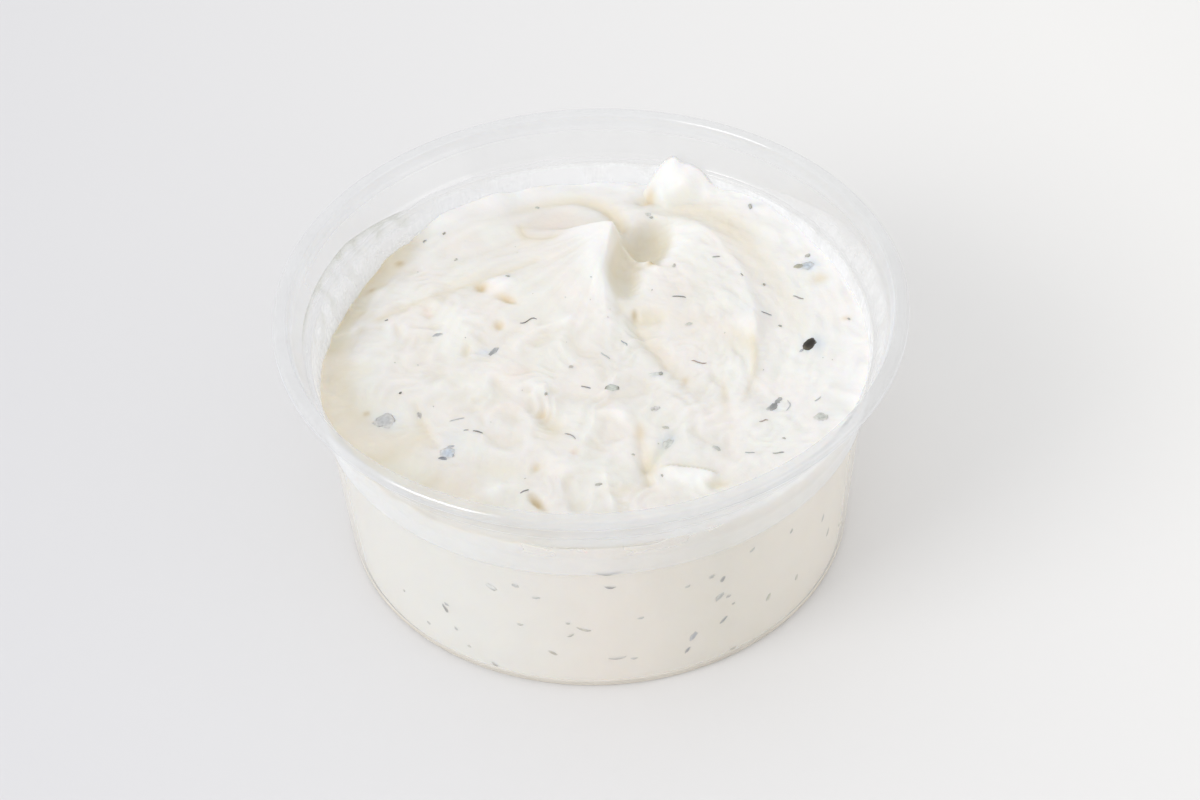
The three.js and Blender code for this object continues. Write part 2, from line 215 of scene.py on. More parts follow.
# height, and the plastic's colour: creamy where the dip lies against it, and greyer in the bead
MILK = [
    (0, (0.83, 0.77, 0.67)), (1.4, (0.82, 0.775, 0.69)), (2.2, (0.81, 0.775, 0.71)),
    (31.8, (0.82, 0.785, 0.72)), (33.2, (0.83, 0.84, 0.85)), (38.5, (0.85, 0.86, 0.865)),
    (41, (0.93, 0.94, 0.955)), (45, (0.86, 0.865, 0.88)), (49.8, (0.85, 0.858, 0.875)),
    (51, (0.813, 0.828, 0.858)), (53, (0.813, 0.828, 0.858)),
]
CUP_HEIGHT = 53


def by_height(material, place, stops):
    """A grey or a colour that changes with the height over the table."""
    height = add_node(material, "SeparateXYZ", {"Vector": place}).outputs["Z"]
    share = ranged(material, height, taken=(0, CUP_HEIGHT * MM))
    return ramp(material, share, [(at / CUP_HEIGHT, value) for at, value in stops])


cup_plastic, milk_shader = finish_named("milky_polypropylene", Roughness=0.5, Specular_IOR_Level=0.0)
place = object_place(cup_plastic)
smudged = ramp(cup_plastic, clouds(cup_plastic, place, 110.0, 3.0), [(0.36, (0.94, 0.935, 0.93)), (0.62, 1)])
milk = multiplied(cup_plastic, by_height(cup_plastic, place, MILK), smudged)
link(cup_plastic, milk, milk_shader.inputs["Base Color"])
flow = clouds(cup_plastic, stretched_up(cup_plastic, place, 0.25), 70.0, 3.0)
gloss = add_node(cup_plastic, "BsdfGlossy", {
    "Color": (1, 1, 1, 1), "Roughness": ramp(cup_plastic, flow, [(0.3, 0.1), (0.7, 0.2)]),
    "Normal": relief(cup_plastic, clouds(cup_plastic, place, 160.0, 2.0), strength=0.1, depth=0.2),
})
glow = add_node(cup_plastic, "BsdfTranslucent", {"Color": milk})
clear = add_node(cup_plastic, "BsdfTransparent", {"Color": (0.99, 0.99, 0.987, 1)})

# Seen edge-on the wall is thicker and shinier. Only its front face counts, so that it isn't hazed twice.
slant = add_node(cup_plastic, "LayerWeight", {"Blend": 0.5}).outputs["Facing"]
thicker = ranged(cup_plastic, calculated(cup_plastic, "POWER", slant, 6.0), given=(1, 5))
mirrored = ranged(cup_plastic, calculated(cup_plastic, "POWER", slant, 5.0), given=(0.1, 0.35))
back = add_node(cup_plastic, "NewGeometry").outputs["Backfacing"]
front = calculated(cup_plastic, "SUBTRACT", 1.0, back)
deep = calculated(cup_plastic, "MULTIPLY", front, thicker)
haze = calculated(cup_plastic, "MULTIPLY", by_height(cup_plastic, place, HAZINESS), deep)
shining = calculated(cup_plastic, "MULTIPLY", mirrored, front)
lit = mixed_surface(cup_plastic, by_height(cup_plastic, place, LIT_THROUGH), milk_shader, glow)
cloudy = mixed_surface(cup_plastic, haze, clear, lit)
wear(cup_plastic, mixed_surface(cup_plastic, shining, cloudy, gloss))

cup = as_object("moulded_cup", cup_maker, cup_plastic)
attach(cup, "root")
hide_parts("cup")


# ---- Dip ----
# Thick strained yogurt with grated cucumber, spooned into the cup and pushed about until the spoon was lifted
# off and left a peak over two hollows. It wets the cup's wall. Shade is painted into its colour as tan where
# a hollow keeps light out, and light is painted in as white on crests.
INSIDE_WALL = [
    (46.9, 0.45), (47.5, 0.8), (47.6, 1.6), (49.9, 32.8), (50.6, 33.3), (52.2, 44.3), (53, 44.5),
    (55.9, 52.3),
]
INTO_WALL = 0.1  # how far the dip reaches into the plastic, so that no air shows between them
LEVEL = 39.6
TOP_EDGE = 44.2  # the dip stays under the ledge
SOLID_EDGE = 49.9  # radius that the pull of the wall is measured from
WALL_REACH = 7
GRID = 264
FINE_AT = (0.14, 0.42)
FINE_SPREAD = 0.38
FINE_EXTRA = 1.2
LEAST_DROP = 0.03  # from one row of the side to the next
SIDE_HEIGHTS = [44.5, 44.3, 42, 40.2, 38.6, 37.1, 35.8, 34.5, 33.3, 32.8, 28, 22, 15, 8, 3, 1.6, 0.8, 0.45]

# direction and spread in degrees, and the rise
CLIMBS = [(160, 30, -3.9), (50, 15, 3.1), (15, 26, 1), (119, 9, 1)]

# middle, half sizes, turn in degrees, height, and how flat the top is
LUMPS = [
    (-5, 20, 20, 15, 15, 1.5, 1), (22, 29, 9, 10, 20, 1.3, 1.3), (11.5, 30.7, 4.4, 6.3, -12, -3.9, 1.7),
    (6.3, 21, 3.2, 5.8, 4, -2.5, 1.5), (11.8, 9.2, 2.4, 2, 0, -0.8, 1.4),
    (8.6, 9.8, 0.7, 1.2, -8, -0.35, 1.4), (-6.5, 38, 5.2, 6, 0, -0.55, 2.6),
    (-24.8, 10.6, 4.2, 5, 20, 0.9, 1.5), (-17, 19.6, 3.4, 2.4, -20, 0.75, 1.6),
    (-20.8, 19.3, 0.9, 1.5, 20, -0.8, 1.3), (-15.8, 14.8, 2.2, 0.7, -38, -0.6, 1.3),
    (-17.4, 8, 0.8, 1.4, 20, -0.5, 1.3), (-31, 13.4, 0.8, 1.9, 15, -0.4, 1.3),
    (-12, -9.5, 4, 3, 30, 0.7, 1.3), (-8.2, -18, 2, 3.6, 30, -0.9, 1.3),
    (-11, -39.2, 0.9, 2.6, 31, -0.7, 1.3), (12.6, 23.3, 1, 0.7, 20, -0.5, 1.4),
    (21, -36.6, 1.9, 1.1, 10, -0.6, 1.4), (11.4, 44.4, 1.6, 1.6, 0, -0.5, 1.3),
    (-4.1, -26.7, 0.9, 0.6, 30, -0.3, 1.4), (-11, -30.4, 0.8, 1.4, -30, -0.4, 1.3),
    (-23.6, 1.8, 0.8, 1.9, 0, -0.4, 1.4), (-12.2, -9.6, 1.2, 1.2, 0, -0.4, 1.4),
]

# start, bend and end of the line, height at each end, half width on its left and right (and on its left at
# the end, where that differs), cap, and sharpness
CRESTS = [
    ((4.9, 31), (0.9, 17), (4, 0), (4.2, 0.1), (1.3, 12, 3.4), 2.4, 1.5),
    ((5, 31.3), (0, 32.8), (-6.5, 30.2), (1.1, 0.1), (7, 1.8), 1.6, 1.5),
    ((7.6, 29), (9, 26.6), (12, 23.4), (1.1, 1.5), (1, 0.9), 1.6, 2),
    ((-13, 43.5), (3, 50.5), (6.8, 36.5), (-0.4, -1.5), (1.6, 1.4), 2, 1.8),
    ((-40, 14.5), (-24, 21), (-11, 24.5), (-0.5, -0.3), (1.2, 1.6), 2, 1.6),
    ((18, 36), (31.5, 26), (30.6, 5), (0.7, 1), (1.7, 8), 5, 1.5),
    ((30.6, 5), (31, -10), (23.9, -20.4), (1, 0.3), (1.2, 8), 3, 1.5),
    ((8.4, 8), (9.5, 2), (16.5, -9), (-1.2, -0.3), (2.2, 1.5), 2, 1.8),
    ((8, -22), (7.6, -28), (9, -35), (-0.5, -1), (1.3, 1.3), 1.5, 1.6),
    ((13.8, -23.5), (11.5, -28), (9.2, -31), (-0.6, -1), (1.1, 1.1), 1.5, 1.6),
    ((1.3, -33), (1.5, -36), (2.2, -40), (0.25, 0.45), (0.8, 1), 1.6, 1.6),
    ((22.6, -8.6), (25, -13), (24.6, -20), (-0.5, -0.2), (0.9, 1.6), 1.4, 1.6),
    ((13, -32.1), (16.4, -32.5), (20.2, -34.2), (0.7, 1), (0.35, 4.6), 1.1, 2.2),
    ((-12.9, 37.5), (-12.8, 32.2), (-7, 32.2), (-0.35, -0.35), (1.4, 0.6), 1, 1.5),
    ((-33, -12), (-32, -17), (-29, -23), (-0.3, -0.5), (0.6, 1.6), 1.2, 1.5),
    ((27, -2), (29.4, -6), (28.4, -14), (-0.5, -0.3), (1.2, 0.7), 1.5, 1.5),
]
CREST_SAMPLES = 22

# The dollop that the spoon left on the wall at the back, as round blobs: middle, half sizes, and lowest and
# top height.
BLOBS = [
    (18.8, 47.6, 7, 6.2, 38, 45.2), (17.6, 48.6, 3.8, 4.4, 39, 46.6), (21, 47.4, 5, 5, 39, 46),
    (18.3, 49.4, 1.8, 1.8, 43, 47.6), (24.2, 45.6, 2.8, 3.2, 38.6, 42.8), (15.8, 46.6, 2.8, 3.6, 38.6, 43),
]
BLOB_BLEND = 0.9

# The small lumps of grated cucumber under the surface, away from the part that the spoon has smoothed.
SMALL_LUMPS = 110
LUMPS_REACH = 48
LUMP_WIDTHS = (1.6, 3.6)
LUMP_HEIGHTS = (-0.35, 0.5)
SMOOTHED_AT = (-6, 34)
SMOOTHED_REACH = 24
SEED = 1184

# where the spoon slid: middle, reach, and how much of the fine relief it took
SLIDES = [(SMOOTHED_AT, SMOOTHED_REACH, 0.9), ((34, 14), 22, 0.7)]
FOLD_DEPTH = 0.42
SMALL_FOLD_DEPTH = 0.13
CURD_HEIGHT = 0.03
PEAK = (4.8, 30.5)  # where the lines to the left fan out from
SWIRL_MIDDLE = (4, 6)  # what the lines on the right run round
SWEEP_MIDDLE = (-4, -2)  # and the lines on the left
WAVES = 14


def inside_radius(height):
    radii, heights = zip(*INSIDE_WALL)
    return np.interp(height, heights, radii)


def within(limits, share):
    return limits[0] + (limits[1] - limits[0]) * share


def numbers_from(seed):
    """The run of numbers from 0 to 1 that places the same small lumps as in the solid."""
    while True:
        seed = (seed * 1664525 + 1013904223) % 4294967296
        yield seed / 4294967296


def small_lumps():
    numbers = numbers_from(SEED)
    lumps = []
    while len(lumps) < SMALL_LUMPS:
        reach = LUMPS_REACH * math.sqrt(next(numbers))
        angle = math.tau * next(numbers)
        x, y = reach * math.cos(angle), reach * math.sin(angle)
        wide = within(LUMP_WIDTHS, next(numbers))
        long = wide * (1 + 0.5 * next(numbers))
        turn = 180 * next(numbers)
        height = within(LUMP_HEIGHTS, next(numbers))
        if math.hypot(x - SMOOTHED_AT[0], y - SMOOTHED_AT[1]) > SMOOTHED_REACH:
            lumps.append((x, y, wide, long, turn, height, 1.2))
    return lumps


def fading(value, reach, power=2):
    """1 at nothing, falling smoothly to 0 past a reach."""
    return np.exp(-((value / reach) ** power))


def lump_height(x, y, lump):
    """How much one lump adds at each place, worked out only where it still shows."""
    at_x, at_y, wide, long, turn, height, flat = lump
    cos, sin = math.cos(math.radians(turn)), math.sin(math.radians(turn))
    out = np.zeros_like(x)
    near = np.hypot(x - at_x, y - at_y) < 3.2 * max(wide, long)
    dx, dy = x[near] - at_x, y[near] - at_y
    across, along = (dx * cos + dy * sin) / wide, (dy * cos - dx * sin) / long
    out[near] = height * np.exp(-((across**2 + along**2) ** flat))
    return out


def curve_points(start, bend, end):
    """Evenly spaced points of a bent line."""
    t = np.linspace(0, 1, 201)[:, None]
    dense = (1 - t) ** 2 * np.array(start) + 2 * t * (1 - t) * np.array(bend) + t**2 * np.array(end)
    runs = np.concatenate([[0], np.cumsum(np.hypot(*np.diff(dense, axis=0).T))])
    wanted = np.linspace(0, runs[-1], CREST_SAMPLES + 1)
    return np.stack([np.interp(wanted, runs, dense[:, k]) for k in (0, 1)], -1)


def along_line(x, y, points):
    """For each place: its share of the line, and how far it is to the left, past an end and away."""
    nearest = np.full_like(x, np.inf)
    share, side, over = np.zeros_like(x), np.zeros_like(x), np.zeros_like(x)
    last = len(points) - 2
    for i, (a, b) in enumerate(zip(points, points[1:])):
        length = math.hypot(*(b - a))
        run = (b - a) / length
        along = (x - a[0]) * run[0] + (y - a[1]) * run[1]
        onto = np.clip(along, 0, length)
        off = np.hypot(x - a[0] - onto * run[0], y - a[1] - onto * run[1])
        closer = off < nearest
        nearest = np.where(closer, off, nearest)
        share = np.where(closer, (i + onto / length) / (last + 1), share)
        side = np.where(closer, run[0] * (y - a[1]) - run[1] * (x - a[0]), side)
        past = -along if i == 0 else along - length if i == last else 0 * x
        over = np.where(closer, np.maximum(0, past), over)
    return share, side, over, nearest


def crest_height(x, y, crest):
    start, bend, end, heights, widths, cap, sharp = crest
    left, right, left_end = (*widths, widths[0])[:3]
    share, side, over, nearest = along_line(x, y, curve_points(start, bend, end))
    across = np.sqrt(np.maximum(0, nearest**2 - over**2))
    width = np.where(side > 0, within((left, left_end), share), right)
    return within(heights, share) * np.exp(-((across / width) ** sharp) - (over / cap) ** 2)


def between(value, low, high, soft):
    """1 between two limits, falling smoothly to 0 over a soft edge outside them."""
    return fading(np.maximum(np.maximum(low - value, value - high), 0), soft)


def rolling(x, y, size, seed):
    """Soft waves of about one size that run every way, mostly from -1 to 1."""
    draw = random.Random(seed)
    total = 0 * x
    for _ in range(WAVES):
        way, phase = draw.uniform(0, math.tau), draw.uniform(0, math.tau)
        length = size * draw.uniform(0.7, 1.5)
        total += np.sin(math.tau / length * (x * math.cos(way) + y * math.sin(way)) + phase)
    return total / WAVES**0.5


def unsmoothed(x, y):
    """How much of the surface is left as it fell, which is less where the spoon slid."""
    left = 1
    for (at_x, at_y), reach, smoothed in SLIDES:
        left = left - smoothed * fading(np.hypot(x - at_x, y - at_y), reach, 4)
    return np.clip(left, 0.08, 1)


def fold_height(x, y):
    """Relief finer than the solid's: torn folds in places, smaller ones all over, and curds."""
    bent_x, bent_y = (value + 1.6 * rolling(x, y, size=10, seed=seed) for value, seed in ((x, 6), (y, 7)))
    broken = np.clip(rolling(x, y, size=15, seed=8) + 0.55, 0, 1)
    folds = FOLD_DEPTH * broken * (0.5 - np.abs(rolling(bent_x, bent_y, size=13, seed=3)))
    smaller = SMALL_FOLD_DEPTH * (0.5 - np.abs(rolling(bent_x, bent_y, size=5, seed=4)))
    curds = CURD_HEIGHT * rolling(x, y, size=2.2, seed=5)
    return unsmoothed(x, y) * (folds + smaller + curds)


def seen_from(x, y, at):
    """The direction in degrees and the distance of each place from a middle."""
    return np.degrees(np.arctan2(y - at[1], x - at[0])) % 360, np.hypot(x - at[0], y - at[1])


def spoon_lines(x, y):
    """Lines that fan out from the peak to the left, and others that run round the right and the left."""
    way, reach = seen_from(x, y, PEAK)
    fan = rolling(0.25 * way, 0.07 * reach, size=2.2, seed=11)
    fan += 0.3 * rolling(0.4 * way, 0.1 * reach, size=1.1, seed=12)
    fan *= between(way, 188, 266, 10) * np.clip((reach - 1.5) / 7, 0, 1) * fading(reach, 44, 3)

    way, reach = seen_from(x, y, SWIRL_MIDDLE)
    way = (way + 90) % 360
    right = rolling(reach, 0.11 * way, size=3.2, seed=13) + 0.5 * rolling(reach, 0.2 * way, size=1.5, seed=14)
    right *= between(way, 35, 165, 22) * between(reach, 20, 41, 5)

    way, reach = seen_from(x, y, SWEEP_MIDDLE)
    left = rolling(reach, 0.11 * way, size=3, seed=15)
    left *= between(way, 115, 158, 16) * between(reach, 26, 44, 4)
    return 0.06 * fan + 0.1 * right + 0.08 * left


def blob_height(x, y, blob):
    at_x, at_y, wide, long, low, top = blob
    out = np.hypot((x - at_x) / wide, (y - at_y) / long) * (1 + 0.08 * rolling(x, y, size=4, seed=21))
    return np.where(out < 1, low + (top - low) * np.maximum(0, 1 - out**2) ** 0.62, 0)


def top_height(x, y):
    x, y = np.asarray(x, float), np.asarray(y, float)
    direction = np.degrees(np.arctan2(y, x))
    rise = sum(climb * fading((direction - at + 180) % 360 - 180, spread) for at, spread, climb in CLIMBS)
    from_wall = np.maximum(0, SOLID_EDGE - np.hypot(x, y))
    wetted = fading(from_wall, WALL_REACH, 1.4)
    height = LEVEL + rise * wetted + 0.3 * wetted**3 * rolling(x, y, size=9, seed=31)
    height = height + sum(lump_height(x, y, lump) for lump in LUMPS + small_lumps())
    height = height + sum(crest_height(x, y, crest) for crest in CRESTS)
    height = height + fold_height(x, y) + spoon_lines(x, y)
    for blob in BLOBS:
        height = BLOB_BLEND * np.logaddexp(height / BLOB_BLEND, blob_height(x, y, blob) / BLOB_BLEND)
    return height


def edge_height(way):
    """How high the dip's top meets the wall in each direction."""
    return np.minimum(top_height(SOLID_EDGE * np.cos(way), SOLID_EDGE * np.sin(way)), TOP_EDGE)


def graded(count, finest):
    """Lines from -1 to 1, closer together near one value."""
    at = np.linspace(-1, 1, 801)
    middles = (at[1:] + at[:-1]) / 2
    sums = np.concatenate([[0], np.cumsum(1 + FINE_EXTRA * fading(middles - finest, FINE_SPREAD))])
    return np.interp(np.linspace(0, sums[-1], count + 1), sums, at)


dip_maker = bmesh.new()
bmesh.ops.create_grid(dip_maker, x_segments=GRID, y_segments=GRID, size=1)
dip_maker.verts.ensure_lookup_table()
flat = np.array([vert.co[:] for vert in dip_maker.verts])
rows = np.rint((flat[:, :2] + 1) / 2 * GRID).astype(int)
u, v = graded(GRID, FINE_AT[0])[rows[:, 0]], graded(GRID, FINE_AT[1])[rows[:, 1]]
wider = np.abs(u) >= np.abs(v)
share = np.where(wider, u, v)
with np.errstate(divide="ignore", invalid="ignore"):
    angle = np.where(wider, np.pi / 4 * np.nan_to_num(v / u), np.pi / 2 - np.pi / 4 * np.nan_to_num(u / v))
angle = np.where(share < 0, angle + np.pi, angle)
edge_top = edge_height(angle)
edge_radius = inside_radius(edge_top) + INTO_WALL
x, y = np.abs(share) * edge_radius * np.cos(angle), np.abs(share) * edge_radius * np.sin(angle)
z = np.where(np.isclose(np.abs(share), 1), edge_top, top_height(x, y))
put(dip_maker.verts, x, y, z)

ring = [edge for edge in dip_maker.edges if edge.is_boundary]
for edge in ring:
    edge.smooth = False
for height in SIDE_HEIGHTS:
    made = bmesh.ops.extrude_edge_only(dip_maker, edges=ring)["geom"]
    ring = [item for item in made if isinstance(item, bmesh.types.BMEdge)]
    for vert in {vert for edge in ring for vert in edge.verts}:
        lower = min(height, vert.co.z / MM - LEAST_DROP)
        radius = inside_radius(lower) + INTO_WALL
        vert.co = (*(vert.co.xy.normalized() * radius * MM), lower * MM)
ring = [edge for edge in dip_maker.edges if edge.is_boundary]
base = bmesh.ops.contextual_create(dip_maker, geom=ring)["faces"]
bmesh.ops.poke(dip_maker, faces=base)
bmesh.ops.recalc_face_normals(dip_maker, faces=dip_maker.faces)

CREAM = (0.757, 0.73, 0.686)
# painted light: crests, and the top towards the right, are painted whiter as if more light fell there
CREST_PAINTED_LIGHT = (0.86, 0.853, 0.838)
# painted shade: tan in hollows where less sky reaches them, and in fine creases
HOLLOW_PAINTED_SHADE = (0.76, 0.69, 0.53)
# painted shade, a darker tan: deep in the first hollow, along the second hollow under the ridge, and at the
# left wall
DEEP_PAINTED_SHADE = (0.69, 0.63, 0.48)
# painted shadow: tan where the cup's left wall shades the dip's edge
WALL_PAINTED_SHADOW = (0.75, 0.685, 0.54)
# painted light: white where the dip rises up the right wall and faces the window light
RIGHT_WALL_PAINTED_LIGHT = (0.895, 0.89, 0.885)
BACK_WHITE = (0.86, 0.86, 0.865)
# painted light: the dollop at the back is painted whiter, as if lit all over, its shaded side too
DOLLOP_PAINTED_LIGHT = (0.812, 0.85, 0.845)
PINK_CLOUD = (0.87, 0.825, 0.79)
GREEN_CLOUD = (0.84, 0.85, 0.8)
# direction in degrees, and how far in from the wall the wall's painted shadow reaches there
WALL_SHADOW_REACH = [(128, 2.4), (140, 3.2), (175, 5.4), (205, 10.6), (240, 9), (256, 6)]
# how far to the right, and the colour of the side there: painted shade makes it darker and warmer just right
# of the middle, away from the window light
SIDE_TONES_AND_SHADE = [
    (-45, (0.772, 0.77, 0.738)), (-22, (0.772, 0.766, 0.732)), (0, (0.795, 0.748, 0.688)),
    (22, (0.735, 0.697, 0.622)), (45, (0.82, 0.768, 0.69)),
]
TINTS = {
    "tan": (0.77, 0.7, 0.55), "orange": (0.72, 0.59, 0.39), "brown": (0.58, 0.47, 0.29),
    "pink": (0.83, 0.72, 0.65), "blue": (0.66, 0.71, 0.77), "green": (0.74, 0.75, 0.67),
    "white": (0.9, 0.9, 0.895),
}

# Orange and brown spots in pits, partly the cucumber juice there and partly painted shade; bits of herb under
# the surface; and tan spots that are painted shade in small hollows and grooves:
# middle, half sizes, turn in degrees, strength, and tint
SPOTS = [
    (-20.8, 19.3, 1.1, 1.5, 30, 1, "orange"), (-15.8, 14.9, 2, 0.8, -38, 0.9, "orange"),
    (-17.4, 8, 0.9, 1.1, 0, 0.8, "orange"), (-31, 13.4, 1, 1.9, 12, 0.7, "pink"),
    (-23.6, 2, 0.8, 2, 0, 0.5, "tan"), (-9.7, -16.2, 1, 1.2, 0, 0.7, "orange"),
    (-8, -20.4, 2, 3, 25, 0.6, "tan"), (-4.1, -26.7, 1, 1.1, 0, 0.6, "pink"),
    (-11, -30.2, 0.6, 0.9, 0, 0.6, "orange"), (-11, -39.3, 0.75, 2.3, 31, 1, "brown"),
    (12.6, 44.4, 1.1, 1.5, 0, 0.7, "orange"), (12.3, 23.3, 1, 0.8, 0, 1, "brown"),
    (8.3, 10, 0.5, 0.9, -8, 0.75, "brown"), (11.4, 9, 2.6, 2.4, 0, 0.6, "tan"),
    (21.2, -36.7, 2, 1, 8, 0.9, "tan"), (8, -22.6, 0.9, 2.6, 0, 0.5, "orange"),
    (9.2, -31, 1.2, 4, 4, 0.8, "tan"), (12, -27, 1.1, 4, -35, 0.7, "green"),
    (13.2, -24.2, 1.5, 2.4, -30, 0.5, "blue"), (-31.6, -17.5, 1.2, 4.6, 18, 0.5, "tan"),
    (-26, -21.5, 2.2, 2.6, 0, 0.3, "blue"), (29.9, -5, 0.7, 5, -2, 0.4, "tan"),
    (26.6, 0, 3.4, 3, 0, 0.2, "tan"), (20, 6, 4, 6, 20, 0.25, "pink"),
    (23.8, -13, 0.7, 4.5, 0, 0.35, "orange"), (16.9, -8.8, 0.8, 0.9, 0, 0.5, "orange"),
    (12.6, -1, 1.6, 6, 30, 0.25, "pink"), (-12.6, 34.5, 0.9, 3, 10, 0.5, "tan"),
    (33, 37.3, 2, 0.7, 0, 0.5, "blue"), (41, 25.3, 1.5, 0.9, 0, 0.5, "green"),
    (44.2, 17.6, 1.5, 1.4, 0, 0.5, "orange"), (48, 5.4, 0.9, 0.6, 0, 0.5, "orange"),
    (27.2, 19.8, 0.7, 0.9, 0, 0.4, "green"), (42, -0.4, 1.9, 1.9, 0, 0.8, "blue"),
    (42.8, 21.6, 1.7, 1.5, 0, 0.7, "blue"), (-36.9, 30.9, 0.8, 0.7, 0, 0.9, "brown"),
    (-42.2, 24.2, 0.9, 0.8, 0, 0.8, "brown"), (-41.9, -13.8, 0.6, 0.7, 0, 0.8, "brown"),
    (-20.2, 1, 1.8, 0.9, 0, 0.6, "blue"), (33.2, -17, 1.2, 1.6, 0, 1, "white"),
    (15.6, -35.2, 4.4, 1.8, -14, 0.6, "white"), (4.3, -37, 3, 1.4, 0, 0.45, "tan"),
    (-30.6, 16.4, 5, 1, 20, 0.3, "tan"), (-24.5, 22.2, 7, 0.8, 20, 0.35, "tan"),
    (27, 33, 3.4, 6, 40, 0.35, "tan"), (-32.5, -21.5, 2.4, 2.6, 30, 0.5, "tan"),
    (-14.2, -5, 3, 1.6, 0, 0.35, "pink"), (-16, -14, 5, 2, 0, 0.3, "pink"),
    (-25, -6, 3, 1.2, 0, 0.3, "green"), (-17.6, -30.5, 5, 2, -8, 0.35, "tan"),
    (2, -15, 2, 4, 0, 0.2, "pink"), (-6.4, 38, 4.7, 5.2, 0, 0.45, "pink"),
    (-38.6, -16.2, 3.4, 3, 20, 0.35, "blue"),
]
# painted shade along grooves and valleys: start, bend and end, strength at each end, half widths, cap, and
# sharpness
GROOVE_SHADE_LINES = [
    ((-12, 43.6), (3, 50.5), (6.8, 37), (0.3, 0.8), (1.5, 1.4), 2, 2),
    ((-40, 14.6), (-24, 20.6), (-11, 25), (0.4, 0.25), (0.6, 0.9), 2, 1.5),
    ((19, 40.5), (34, 32), (39, 5), (0.5, 0.25), (2.4, 3), 3, 1.8),
    ((-12.9, 37), (-12.8, 31.6), (-6.6, 31.8), (0.5, 0.7), (1.3, 1.3), 1.4, 1.6),
    ((30, 0), (30.6, -7), (27.5, -15), (0.65, 0.3), (0.6, 0.7), 1.5, 1.6),
    ((19, 7.5), (25, 6.5), (29.4, -1), (0.15, 0.4), (1.6, 1.6), 2, 1.6),
    ((8.8, 9), (10.6, 0), (17, -8.8), (0.4, 0.2), (1.4, 1.4), 2, 1.4),
    ((11.6, -31.7), (16, -32), (20.6, -33.9), (0.6, 0.6), (0.3, 0.3), 0.6, 1.6),
]
# painted shade filling the first hollow, and the ridge's painted shadow along the second hollow's near edge
HOLLOW_SHADE_SPOT = (11.4, 31, 4.5, 6.6, -12, 0.42, 2)
RIDGE_SHADOW_LINE = ((5.8, 28.5), (2.2, 18), (5.6, 11.5), (0.34, 0.2), (4, 0.3), 1.6, 1.8)
DOLLOP_LIGHT_SPOT = (19.4, 47.5, 6.6, 7, 0, 1, 3)
# The top's height on a square field; its hollows, creases and crests give the painted shade and light.
FIELD_STEP = 0.4
FIELD = np.arange(-54, 54 + FIELD_STEP / 2, FIELD_STEP)
SKY_WAYS = 12
SKY_REACHES = (0.8, 1.2, 1.6, 2.4, 3.2, 4.4, 6, 8, 11)


def lowered_pass(field, reach):
    """The field with everything finer than a reach in mm taken out."""
    ways = np.fft.fftfreq(len(FIELD), FIELD_STEP)
    kept = np.exp(-2 * (np.pi * reach) ** 2 * (ways[:, None] ** 2 + ways**2))
    return np.real(np.fft.ifft2(np.fft.fft2(field) * kept))


def closed_in(field):
    """How much of the sky each place loses to what stands round it, from 0 to 1."""
    lost = np.zeros_like(field)
    for way in range(SKY_WAYS):
        steepest = np.zeros_like(field)
        turn = math.tau * way / SKY_WAYS
        for reach in SKY_REACHES:
            dx, dy = (int(round(reach / FIELD_STEP * part)) for part in (math.cos(turn), math.sin(turn)))
            risen = np.roll(field, (-dx, -dy), (0, 1)) - field
            steepest = np.maximum(steepest, risen / (FIELD_STEP * math.hypot(dx, dy)))
        lost += steepest**2 / (1 + steepest**2)
    return lost / SKY_WAYS


def read_field(field, x, y):
    """The field's value at any place."""
    across, along = (np.clip((value - FIELD[0]) / FIELD_STEP, 0, len(FIELD) - 1.001) for value in (x, y))
    i, j = across.astype(int), along.astype(int)
    s, t = across - i, along - j
    near, far = ((1 - s) * field[i, k] + s * field[i + 1, k] for k in (j, j + 1))
    return (1 - t) * near + t * far


heights = top_height(*np.meshgrid(FIELD, FIELD, indexing="ij"))
hollow = read_field(closed_in(heights), x, y)
crease = read_field(lowered_pass(heights, 1.1) - heights, x, y)
raised = read_field(heights - lowered_pass(heights, 3.5), x, y)
from_wall = edge_radius * (1 - np.abs(share))
around = np.degrees(angle) % 360
# Near the wall: the left wall's painted shadow, a darker painted contact shade on the left, painted light
# along the right wall, and cream smeared white at the back.
wall_shadow_reach = np.interp(around, *zip(*WALL_SHADOW_REACH)) + 1.3 * rolling(x, y, size=9, seed=41)
wall_shadow = between(around, 132, 256, 8) * fading(from_wall, wall_shadow_reach, 4)
wall_contact_shade = between(around, 138, 205, 8) * fading(from_wall, 2.6)
right_wall_light = (between(around, 0, 75, 8) + between(around, 345, 361, 12)) * fading(from_wall, 3.4, 3)
back_edge = between(around, 70, 124, 8) * fading(from_wall, 4.5, 1.3)
pinker = rolling(x, y, size=14, seed=42)
# The cream's colour: pink and green clouds are its own tone, and the back is smeared white; the rest is
# painted shade (tan in hollows, creases and grooves, at the left wall) and painted light (crests, right wall,
# dollop).
washes = [
    (CREST_PAINTED_LIGHT, 0.2 + raised), (HOLLOW_PAINTED_SHADE, 1.6 * hollow - 0.12), (HOLLOW_PAINTED_SHADE, 1.3 * crease),
    (WALL_PAINTED_SHADOW, 0.85 * wall_shadow), (DEEP_PAINTED_SHADE, 0.3 * wall_contact_shade), (CREST_PAINTED_LIGHT, 0.8 * np.clip((x - 14) / 26, 0, 1)),
    (DOLLOP_PAINTED_LIGHT, lump_height(x, y, DOLLOP_LIGHT_SPOT)), (RIGHT_WALL_PAINTED_LIGHT, right_wall_light), (BACK_WHITE, back_edge),
    (PINK_CLOUD, 0.3 * np.clip(pinker, 0, 1)), (GREEN_CLOUD, 0.3 * np.clip(-pinker, 0, 1)),
    (DEEP_PAINTED_SHADE, lump_height(x, y, HOLLOW_SHADE_SPOT)), (DEEP_PAINTED_SHADE, crest_height(x, y, RIDGE_SHADOW_LINE)),
]
